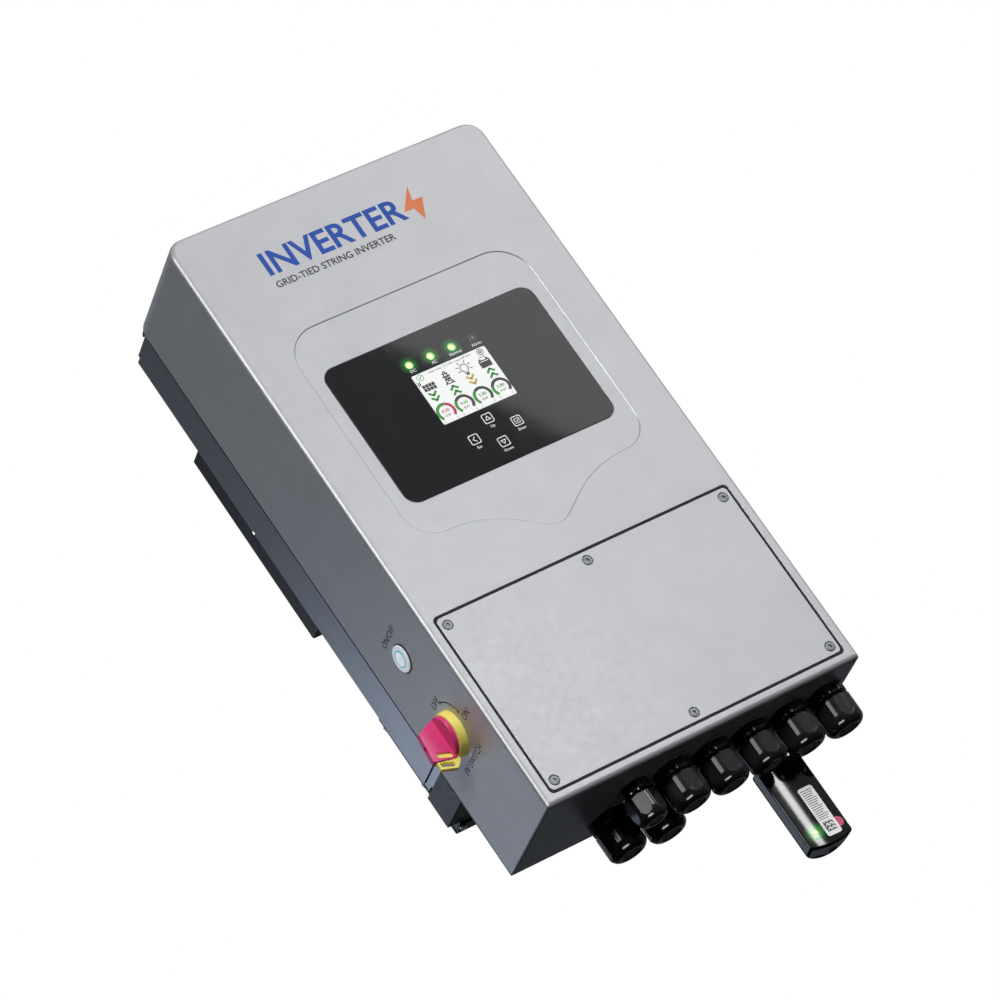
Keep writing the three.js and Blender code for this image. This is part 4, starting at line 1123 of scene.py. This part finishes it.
def isolator():
    place = on_left(BASE.y, BASE.z)
    base = [(7.5, 8.3), (18.8, 8.3), (19.8, 7.8), (20.2, 7.0), (BASE_RADIUS, 1.2), (BASE_RADIUS, 0.3)]
    base.append((7.5, 0.3))
    put_turned("isolator_base_ring", base, place, "isolator_yellow", stands_for=["isolator_base"], steps=72)

    upright = side_view(BASE.y, BASE.z)
    slot = TAB_HALF + TAB_CLEAR
    near, far = TAB_NEAR - TAB_CLEAR, TAB_FAR + TAB_CLEAR
    arm_room = block(0, near + 1, TOOL_FOOT, ARM_ROOM_TOP, 0.2, steps=2)
    disc, notch = bmesh.new(), bmesh.new()
    outline = [(0, 12.6), (17.6, 12.6), (18.6, 12.1), (DISC_RADIUS, 11.2), (DISC_RADIUS, 8.6)]
    outline += [(5, 8.6), (5, -22), (0, -22)]
    turned(disc, outline, place, 72, closed=False)
    plate(notch, arm_room, -slot + 0.01, slot - 0.01, upright, 0.02)
    bm = carved(disc, notch)
    grip = bmesh.new()
    corners = [(11.5, 18.5, 1.0), (11.5, -21.5, 1.0), (BAR_LOW_TIP, -17.5, 2.4), (BAR_HIGH_TIP, 11.5, 1.2)]
    plate(grip, traced(filleted(corners)), -BAR_HALF, BAR_HALF, upright, 0.7)
    tools = bmesh.new()
    plate(tools, block(near, far, TOOL_FOOT, 2, 0.2, steps=2), -slot, slot, upright, 0.02)
    plate(tools, arm_room, -slot + 0.01, slot - 0.01, upright, 0.02)
    tilt = Matrix.Rotation(LOCK_SLOT_TILT, 2)
    window = [tuple(tilt @ Vector(spot) + LOCK_SLOT) for spot in block(-7, 7, -2.4, 2.4, 2.35)()]
    plate(tools, traced(window), -8, 8, upright, 0.02)
    turned_rod(tools, 2.7, BAR_HIGH_TIP - 3, BAR_LOW_TIP + 1, on_left(BASE.y, BASE.z - 3))
    add(bm, carved(grip, tools))
    stand_in("isolator_handle", "grip", bm, "isolator_red", "isolator_handle")

    bm = bmesh.new()
    outline = traced(filleted([
        (TAB_NEAR, -8, 0.4), (TAB_NEAR, -19.6, 0.5), (9.4, -21.1, 0.5), (9.0, -23.6, 0.6),
        (15.7, -30.1, 1.2), (TAB_FAR, -25.4, 1.0), (TAB_FAR, -8, 0.4),
    ]))
    eye = traced(filleted([
        (28.5, -19.2, 0.8), (16.9, -23.4, 0.9), (15.6, -25.3, 0.9), (17.6, -27.2, 0.9), (28.4, -23.2, 0.8),
    ]))
    plate(bm, outline, -TAB_HALF, TAB_HALF, upright, 0.4, [eye])
    stand_in("padlock_tab", "plate", bm, "isolator_yellow", "padlock_tab")


# ---- Rear ----


def screw_head(bm, place, radius, height):
    """A pan head standing on the plane, with a rounded brow."""
    shape = ((0, 1), (0.4, 1), (0.78, 0.96), (0.94, 0.8), (1, 0.5), (1, 0), (0, 0))
    turned(bm, [(radius * across, height * up) for across, up in shape], place, 28, closed=False)


TRAY_SHEET = 1.5
TRAY_OPENING = 28.2


def fan_tray():
    bm = bmesh.new()
    shoulder = 172
    half = DUCT.x1 - 0.5
    corners = [
        (TRAY.x0, TRAY.y0, 1.0), (TRAY.x1, TRAY.y0, 1.0), (TRAY.x1, shoulder, 1.0), (half, shoulder, 1.0),
        (half, TRAY.y1, 1.0), (-half, TRAY.y1, 1.0), (-half, shoulder, 1.0), (TRAY.x0, shoulder, 1.0),
    ]
    holes = [round_of(TRAY_OPENING, fan.x, fan.y) for fan in FANS.values()]
    pan(bm, traced(filleted(corners, 3)), TRAY.z0, TRAY.z1, TRAY_SHEET, 0.8, on_level(), holes)
    stand_in("fan_tray", "pan", bm, "dark_sheet")


FAN_HUB = 13
FAN_OPENING = 28.5
FAN_SCREW = 25.5
BLADE_COUNT = 7
BLADE_ROOT = 12
BLADE_TIP = 26.2
BLADE_REACH = 8.2
BLADE_STEPS = 6


def fan_frame(side, case):
    bm = bmesh.new()
    holes = [round_of(FAN_OPENING)]
    holes += [round_of(2.2, u, v, 20) for u in (-FAN_SCREW, FAN_SCREW) for v in (-FAN_SCREW, FAN_SCREW)]
    place = on_level(case.x, case.y)
    plate(bm, square(case.half, 4), case.z0, case.z1, place, 0.5, holes)
    turned_rod(bm, FAN_HUB, case.z1 - 3, case.z1, place, 0.4)
    for turn in (45, 165, 285):
        tube(bm, [place(*spoke(radius, math.radians(turn)), case.z1 - 1.6) for radius in (12, 29)], 1.6)
    stand_in("fan_frame_" + side, "case", bm, "fan_plastic")


def blade(bm, middle, turn):
    """A twisted, swept blade from the hub outwards."""
    rings = []
    for step in range(BLADE_STEPS + 1):
        radius = BLADE_ROOT + (BLADE_TIP - BLADE_ROOT) * step / BLADE_STEPS
        lean = math.radians(50 - 16 * step / BLADE_STEPS)
        away = Vector((*spoke(1, turn + 0.12 * step), 0))
        chord = Vector((-away.y, away.x, 0)) * math.cos(lean) + Vector((0, 0, 1)) * math.sin(lean)
        normal = chord.cross(away)
        centre = middle + away * radius
        reach = chord * BLADE_REACH
        rings.append([
            centre - reach, centre - reach * 0.3 + normal * 0.9,
            centre + reach, centre - reach * 0.3 - normal * 0.5,
        ])
    loft(bm, rings)


def fan_rotor(side, case):
    body = "fan_rotor_" + side
    rotor = span(body)
    bm = bmesh.new()
    turned_rod(bm, FAN_HUB, rotor.z0 + 0.2, rotor.z1 - 0.2, on_level(case.x, case.y), 1.2)
    for turn in turns_of(BLADE_COUNT):
        blade(bm, Vector((case.x, case.y, rotor.z)), turn)
    stand_in(body, "wheel", bm, "fan_plastic", body)


def fans():
    guard = bmesh.new()
    for side, case in FANS.items():
        fan_frame(side, case)
        fan_rotor(side, case)
        place = on_level(case.x, case.y, TRAY.z0 - 0.9)
        for radius in (8, 13.5, 19, 24.5):
            ring = [place(*spoke(radius, turn), 0) for turn in turns_of(40)]
            tube(guard, ring, 0.7, closed=True, steps=6)
        for turn in (45, 135, 225, 315):
            bar = [place(*spoke(radius, math.radians(turn)), 0.5) for radius in (6.5, 29)]
            tube(guard, bar, 0.8, steps=6)
    put("fan_guards", guard, "screw_steel")


def duct_cover():
    bm, lip, arcs, screws = bmesh.new(), bmesh.new(), bmesh.new(), bmesh.new()
    plate(bm, grown(DUCT, 0, 1.5), DUCT.y1 - SHEET, DUCT.y1, on_front(), 0.4)
    for case in FANS.values():
        turned_rod(arcs, 29.5, DUCT.z0 - 2, DUCT.z0 + 4, on_level(case.x, case.y), steps=72)
    flange = block(DUCT.x0, DUCT.x1, DUCT.y0, DUCT.y1 - 0.3, 0.8)
    plate(lip, flange, DUCT.z0, DUCT.z0 + 1.5, on_level(), 0.3)
    add(bm, carved(lip, arcs))
    stand_in("duct_cover", "sheet", bm, "dark_sheet")

    for x in (DUCT.x0 + 3.5, 0, DUCT.x1 - 3.5):
        for z in (DUCT.z1 - 10.6, DUCT.z1 - 71.6):
            screw_head(screws, on_front(x, DUCT.y1 - 0.2, z), 3.6, 3.2)
    for x in (DUCT.x0 + 3.6, -56, 56, DUCT.x1 - 3.6):
        under = lambda u, v, w, x=x: (x + u, DUCT.y0 + 3.5 + v, DUCT.z0 + 0.2 - w)
        screw_head(screws, under, 3.2, 2.4)
    for x in (1.5 - SINK.x1, SINK.x1 - 1.5):
        screw_head(screws, on_front(x, 162.8, 93), 2.2, 1.6)
    put("rear_screws", screws, "screw_steel", finish="bright_steel")


BRACKET_WALL = 35
SLOT_ACROSS, SLOT_UP = 100, 70
SLOT_HALF_WIDTH, SLOT_HALF_HEIGHT = 12, 4.5


def wall_bracket():
    bm = bmesh.new()
    back = BRACKET.y1
    slots = []
    for x in (-SLOT_ACROSS, SLOT_ACROSS):
        for z in (BRACKET.z - SLOT_UP, BRACKET.z + SLOT_UP):
            slots.append(block(
                x - SLOT_HALF_WIDTH, x + SLOT_HALF_WIDTH, z - SLOT_HALF_HEIGHT, z + SLOT_HALF_HEIGHT, 4.4,
            ))
    pan(bm, grown(BRACKET, 0, 2), back, back - BRACKET_WALL, SHEET, 1.5, on_front(), slots)
    # The shelf stands forward from the back and ends in the lip that the hanger rail hooks on
    hook_half, shelf, hook_sheet, lip_front, lip_top = 120, 158, 2.5, 199.5, 178
    corners = [
        (lip_front, shelf, 2.5), (lip_front, lip_top, 0.8), (lip_front + hook_sheet, lip_top, 0.8),
        (lip_front + hook_sheet, shelf + hook_sheet, 1.0), (back - 1, shelf + hook_sheet, 0.2),
        (back - 1, shelf, 0.2),
    ]
    plate(bm, traced(filleted(corners)), -hook_half, hook_half, lambda u, v, w: (w, u, v), 0.3)
    stand_in("wall_bracket", "sheet", bm, "dark_sheet")


# ---- Underside ----

DOME_STEPS = 12
# The dome's own steps are smoothed, and the hexagon's edges stay sharp
GLAND_SHARP = 14


def gland_profiles(gland):
    """(body, nut, seal) profiles: radius, and how far below the underside."""
    s = gland.scale
    flange_foot = 10 * s
    neck_foot = 27 * s
    body = [(gland.bore + 0.5, -12), (gland.thread, -12), (gland.thread, 0.3), (gland.flange - 0.8, 0.3)]
    body += [(gland.flange, 1.1), (gland.flange, flange_foot - 1.4), (gland.flange - 1.2, flange_foot)]
    body += [(gland.neck, flange_foot)]
    for ridge in range(2):
        start = flange_foot + 0.3 + ridge * 1.2
        body += [(gland.neck, start), (gland.neck + 0.5, start + 0.4), (gland.neck, start + 0.9)]
    body += [(gland.neck, neck_foot), (gland.bore + 0.5, neck_foot)]
    inner = gland.neck + 0.3
    crown = gland.bore + 2.2
    nut = [(inner, 12.5 * s), (gland.nut - 0.9, 12.5 * s), (gland.nut, 13.4 * s)]
    for step in range(DOME_STEPS + 1):
        turn = math.radians(90 * step / DOME_STEPS)
        nut.append((crown + (gland.nut - crown) * math.cos(turn), (28 + 11 * math.sin(turn)) * s))
    nut += [(gland.bore + 0.6, 39 * s), (gland.bore, 38.3 * s), (gland.bore, 29 * s), (inner, 29 * s)]
    seal = [(gland.bore - 2.4, 37.4 * s), (gland.bore - 0.5, 38.0 * s), (gland.bore - 0.2, 37.2 * s)]
    seal += [(gland.bore - 0.2, 20 * s), (gland.bore - 2.4, 20 * s), (gland.bore - 2.8, 24 * s)]
    return body, nut, seal


def glands():
    for gland in GLANDS:
        place = on_underside(gland.x, gland.y)
        body, nut, seal = gland_profiles(gland)
        bm = bmesh.new()
        turned(bm, body, place, 96, gland.flats, twist=gland.twist)
        # Two small lugs stand on the flange, where it grips the sheet
        lug = block(-2.6, 2.6, gland.flats - 1.4, gland.flats + 1.0, 0.5, steps=3)()
        for way in (-60, 60):
            turn = Matrix.Rotation(gland.twist + math.radians(way), 2)
            spots = traced([tuple(turn @ Vector(spot)) for spot in lug])
            plate(bm, spots, 2.2, 7.2 * gland.scale, place, 0.3)
        stand_in(f"gland_body_{gland.name}", "hex", bm, "gland_nylon", sharp=GLAND_SHARP)
        bm = bmesh.new()
        turned(bm, nut, place, 96, gland.flats, twist=gland.twist)
        stand_in(f"gland_nut_{gland.name}", "dome", bm, "gland_nylon", sharp=GLAND_SHARP)
        put_turned(f"gland_seal_{gland.name}", seal, place, "seal_rubber", steps=48)


LOGGER_CROWN = 1.8
LOGGER_SIDE_BACK = 81
LOGGER_SAG = 4.5
LOGGER_TOP = -330


def logger_points():
    """The stick's section, seen from above."""
    half = LOGGER.half
    back = LOGGER.y1
    corner = LOGGER.y0 + LOGGER_CROWN

    def bend(side):
        """The points of the small bend from the front face to a side, in the order from the face."""
        return (
            (side * (half - 2), corner), (side * (half - 0.6), corner), (side * half, corner + 0.6),
            (side * half, corner + 2),
        )

    points = []
    for step in range(13):
        across = (half - 2) * (step / 6 - 1)
        points.append((across, logger_front(across)))
    points += curve_points(*bend(1), 4)[1:]
    points += curve_points((half, LOGGER_SIDE_BACK), (half, back - 3), (half * 0.6, back), (0, back), 12)
    points += curve_points((0, back), (-half * 0.6, back), (-half, back - 3), (-half, LOGGER_SIDE_BACK), 12)
    points.append((-half, LOGGER_SIDE_BACK))
    points += curve_points(*reversed(bend(-1)), 4)
    return points


def logger_front(across):
    """Depth of the stick's crowned front face at a place across it."""
    return LOGGER.y0 + LOGGER_CROWN * (across / (LOGGER.half - 2)) ** 2


def logger_stick():
    outline = traced(logger_points())
    low_corner = LOGGER.z0 + LOGGER_SAG

    def level(inset, height, sag):
        return [(LOGGER_X + u, v, height - sag * (1 - (u / LOGGER.half) ** 2)) for u, v in outline(inset)]

    rings = [level(inset, low_corner + drop, LOGGER_SAG) for inset, drop in eased(2.2, 6)]
    seam = low_corner + 7
    rings += [level(inset, seam + up, 3) for inset, up in ((0, 0), (0.35, 0.15), (0.35, 0.65), (0, 0.8))]
    rings += [level(inset, LOGGER_TOP - drop, 0) for inset, drop in reversed(eased(1.8, 5))]
    bm = bmesh.new()
    loft(bm, rings)
    turned_rod(bm, 12, LOGGER_TOP - 2, LOGGER.z1, on_level(LOGGER_X, SOCKET.y), 0.6)
    put("logger_stick", bm, "logger_gloss", stands_for=["logger_body"])


def logger_mount():
    """The socket in the underside and the knurled collar that holds the stick."""
    place = on_underside(LOGGER_X, SOCKET.y)
    socket = [(0, 10), (11.4, 10), (12, 9.4), (12, 0.3), (9, 0.3), (9, -12), (0, -12)]
    bm = bmesh.new()
    turned(bm, socket, place, 48, closed=False)
    stand_in("logger_socket", "turned", bm, "gland_nylon")
    collar = span("logger_collar")
    top, foot = FOOT - collar.z1, FOOT - collar.z0
    inner, outer = 12.4, collar.half
    profile = [(inner, top), (outer - 0.8, top), (outer, top + 0.8)]
    profile += [(outer, foot - 0.8), (outer - 0.8, foot), (inner, foot)]
    rings = []
    for radius, w in profile:
        ring = []
        for step, turn in enumerate(turns_of(120)):
            groove = 0.5 if radius >= outer and step % 5 < 2 else 0
            ring.append(place(*spoke(radius - groove, turn), w))
        rings.append(ring)
    bm = bmesh.new()
    skin(bm, rings, closed=True)
    stand_in("logger_collar", "knurled", bm, "gland_nylon", sharp=25)


LABEL_LEFT, LABEL_RIGHT = -2.0, 13.4
LABEL_LOW, LABEL_HIGH = -411, -362
LAMP_Z = -402
GREEN_LAMP = -10.2


def on_logger(u, v, w):
    """Drawn on the stick's front face, u across it from its middle and v the height."""
    return (LOGGER_X + u, logger_front(u) - w, v)


def wrapped(bm, bend, low, high, step=1.5):
    """Cuts a flat drawing into strips across it, and bends it."""
    for index in range(1, math.ceil((high - low) / step)):
        spot = Vector((low + index * step, 0, 0))
        whole = bm.verts[:] + bm.edges[:] + bm.faces[:]
        bmesh.ops.bisect_plane(bm, geom=whole, plane_co=spot, plane_no=Vector((1, 0, 0)))
    for vertex in bm.verts:
        vertex.co = Vector(bend(*vertex.co))


def logger_trim():
    label, marks = bmesh.new(), bmesh.new()
    inked(label, block(LABEL_LEFT, LABEL_RIGHT, LABEL_LOW, LABEL_HIGH, 2.4), on_level())
    wrapped(label, on_logger, LABEL_LEFT, LABEL_RIGHT)
    put("logger_label", label, "logger_gloss", finish="label_paper")
    raised = on_level(z=INK)
    for row in range(15):
        z = LABEL_HIGH - 3.2 - row * 2.1
        end = LABEL_RIGHT - 1.8 - (row * 5 % 4)
        inked(marks, block(LABEL_LEFT + 1.8, end, z - 0.35, z + 0.35, 0.1, steps=2), raised, lift=0.06)
    for row in range(8):
        for column in range(8):
            if (row * row + 3 * column + row * column) % 3 == 0 or 0 in (row, column):
                u, v = LABEL_LEFT + 2.4 + column * 1.25, LABEL_LOW + 4 + row * 1.25
                inked(marks, block(u, u + 1.2, v, v + 1.2, 0.1, steps=1), raised, lift=0.06)
    wrapped(marks, on_logger, LABEL_LEFT, LABEL_RIGHT)
    put("logger_label_marks", marks, "logger_gloss", finish="ink_dark")
    for name, finish, x, radius, low, high, edge, steps in (
        ("logger_lamp_green", "light_guide", GREEN_LAMP, 2.2, -0.4, 0.25, 0.15, 24),
        ("logger_lamp_pink", "lamp_pink", 15.2, 4.9, -1.2, 0.07, 0.05, 32),
    ):
        lamp = bmesh.new()
        turned_rod(lamp, radius, low, high, lambda u, v, w, x=x: on_logger(x + u, LAMP_Z + v, w), edge, steps)
        put(name, lamp, "logger_gloss", finish=finish)


# ---- Light ----

KEY_SIZE = 6.0
FLOOR_HALF = 9
FLOOR_HEIGHT = -1.9


def softbox(name, corner, across, up, radiance, colour=(1, 1, 1)):
    """A rectangle of light from its corner and its two sides, in metres; it shines along across x up."""
    corner, across, up = Vector(corner), Vector(across), Vector(up)
    data = bpy.data.lights.new(name, "AREA")
    data.shape = "RECTANGLE"
    data.size, data.size_y = up.length, across.length
    data.energy = radiance * math.pi * data.size * data.size_y
    data.color = colour
    light = bpy.data.objects.new(name, data)
    side, top = across.normalized(), up.normalized()
    turn = Matrix((top, side, top.cross(side))).transposed()
    light.matrix_world = Matrix.Translation(corner + (across + up) / 2) @ turn.to_4x4()
    light.visible_camera = False
    scene.collection.objects.link(light)
    return light


def aimed(name, offset, width, height, radiance, colour=(1, 1, 1)):
    """An upright rectangle of light that faces the cabinet from an offset in metres."""
    away = -Vector(offset).normalized()
    across = Vector((0, 0, 1)).cross(away).normalized() * width
    up = away.cross(across).normalized() * height
    return softbox(name, ORIGIN + Vector(offset) - (across + up) / 2, across, up, radiance, colour)


def linked(light, starts, state="INCLUDE"):
    """The light falls only on the pieces whose names start so; with EXCLUDE, on all the others."""
    chosen = bpy.data.collections.new(light.name + "_pieces")
    for piece in bpy.data.objects:
        if piece.name.startswith(starts):
            chosen.objects.link(piece)
    for row in chosen.collection_objects:
        row.light_linking.link_state = state
    light.light_linking.receiver_collection = chosen


def make_light():
    # The key's edge is what shows as the slanting edge of the reflection in the display glass
    glass = Vector((0, GLASS.y0, GLASS.z)) * MM
    near_edge = Vector((1.3978, -2.5, 1.2446))
    edge_way = Vector((0.492, 0, -0.870)).normalized()
    side_way = Vector((0.870, 0, 0.492)).normalized()
    edge_high = ORIGIN + glass + (near_edge - glass) * 2
    corner = edge_high + edge_way * KEY_SIZE / 2
    key = softbox("key", corner, -edge_way * KEY_SIZE, side_way * KEY_SIZE, 2.85)
    linked(key, "logger_stick", "EXCLUDE")
    aimed("front_left", (-1.3, -2.6, 1.0), 3.0, 0.5, 7.0)
    aimed("left_rear", (-0.95, 1.25, -0.1), 1.2, 1.0, 0.85, (0.72, 0.82, 1.0))
    # The band along the data logger
    strip = aimed("strip", (0.98, -2.5, 0.5), 0.30, 0.6, 15.0)
    # The highlight on edges that face left
    edge_light = aimed("edge_light", (-2.1, -1.9, 0.98), 1.8, 1.6, 6.0)
    # The crescents on the shoulders of the glands
    low_light = aimed("low_light", (-0.65, -0.83, -1.48), 0.9, 0.4, 16.0)
    for highlight in (strip, edge_light, low_light):
        highlight.visible_diffuse = False
    linked(low_light, "gland")
    # This one lights the isolator switch from above and in front of it
    linked(aimed("switch_light", (-0.45, -1.6, 1.1), 0.8, 0.8, 11.0), ("isolator", "padlock"))


def make_world():
    """Soft light that is brighter from above, from the right and from behind, on a white backdrop."""
    world = bpy.data.worlds.new("studio")
    scene.world = world
    world.use_nodes = True
    tree = world.node_tree
    tree.nodes.clear()
    way = shader(tree, "TexCoord").outputs["Generated"]
    axes = shader(tree, "SeparateXYZ", Vector=way).outputs
    across = ranged(tree, axes["X"], -0.6, 1.0, 0.02, 0.60)
    behind = ranged(tree, axes["Y"], -1.0, 1.0, 0.7, 1.1)
    above = ranged(tree, axes["Z"], -0.5, 0.9, 0.04, 1.4)
    strength = math_of(tree, "MULTIPLY", math_of(tree, "MULTIPLY", across, behind), above)
    lighting = shader(tree, "Background", Color=(0.84, 0.91, 1, 1), Strength=strength)
    backdrop = shader(tree, "Background", Color=(1, 1, 1, 1), Strength=1.0)
    seen = shader(tree, "LightPath").outputs["Is Camera Ray"]
    sides = lighting.outputs["Background"], backdrop.outputs["Background"]
    chosen = shader(tree, "MixShader", seen, *sides)
    shader(tree, "OutputWorld", Surface=chosen.outputs["Shader"])


def make_floor():
    bm = bmesh.new()
    bmesh.ops.create_grid(bm, x_segments=2, y_segments=2, size=FLOOR_HALF)
    bm.transform(Matrix.Translation((0, 0, FLOOR_HEIGHT)))
    floor = object_of(bm, "floor")
    paint = finish_of("floor_paint", (238, 238, 238), 0.7, cloud=0.01, grain_scale=300, glow=0.5)
    floor.data.materials.append(paint)
    floor.visible_diffuse = False
    floor.visible_glossy = False


# ---- The whole ----

KEPT = {
    "heatsink": "brushed_aluminium", "spacer_frame": "brushed_aluminium", "hanger_rail": "dark_sheet",
    "display_board": "circuit_board", "power_board": "circuit_board", "capacitor_bank": "component_plastic",
    "inductor_block": "component_plastic", "terminal_block": "component_plastic",
    "isolator_switch": "component_plastic", "wiring_seal": "seal_rubber",
}
for kept_node, kept_slot in KEPT.items():
    keep(kept_node, kept_slot)

front_cover()
wiring_cover()
hatch_gap_shade()
cover_screws()
case_seal()
rear_plate()
display_glass()
screen()
screen_graphics()
status_lights()
keys()
glass_print()
cabinet_print()
power_button()
isolator()
fan_tray()
fans()
duct_cover()
wall_bracket()
glands()
logger_stick()
logger_mount()
logger_trim()
lit_places = [ORIGIN + Vector((x, GLASS.y0, LIGHT_Z)) * MM for x in LIGHT_X[:3]]
add_halo("display_gloss", lit_places, (50, 170, 60), 11, 0.55)
lamp_place = ORIGIN + Vector((LOGGER_X + GREEN_LAMP, logger_front(GREEN_LAMP), LAMP_Z)) * MM
add_halo("logger_gloss", [lamp_place], (80, 210, 70), 12, 0.5)
make_light()
make_world()
make_floor()
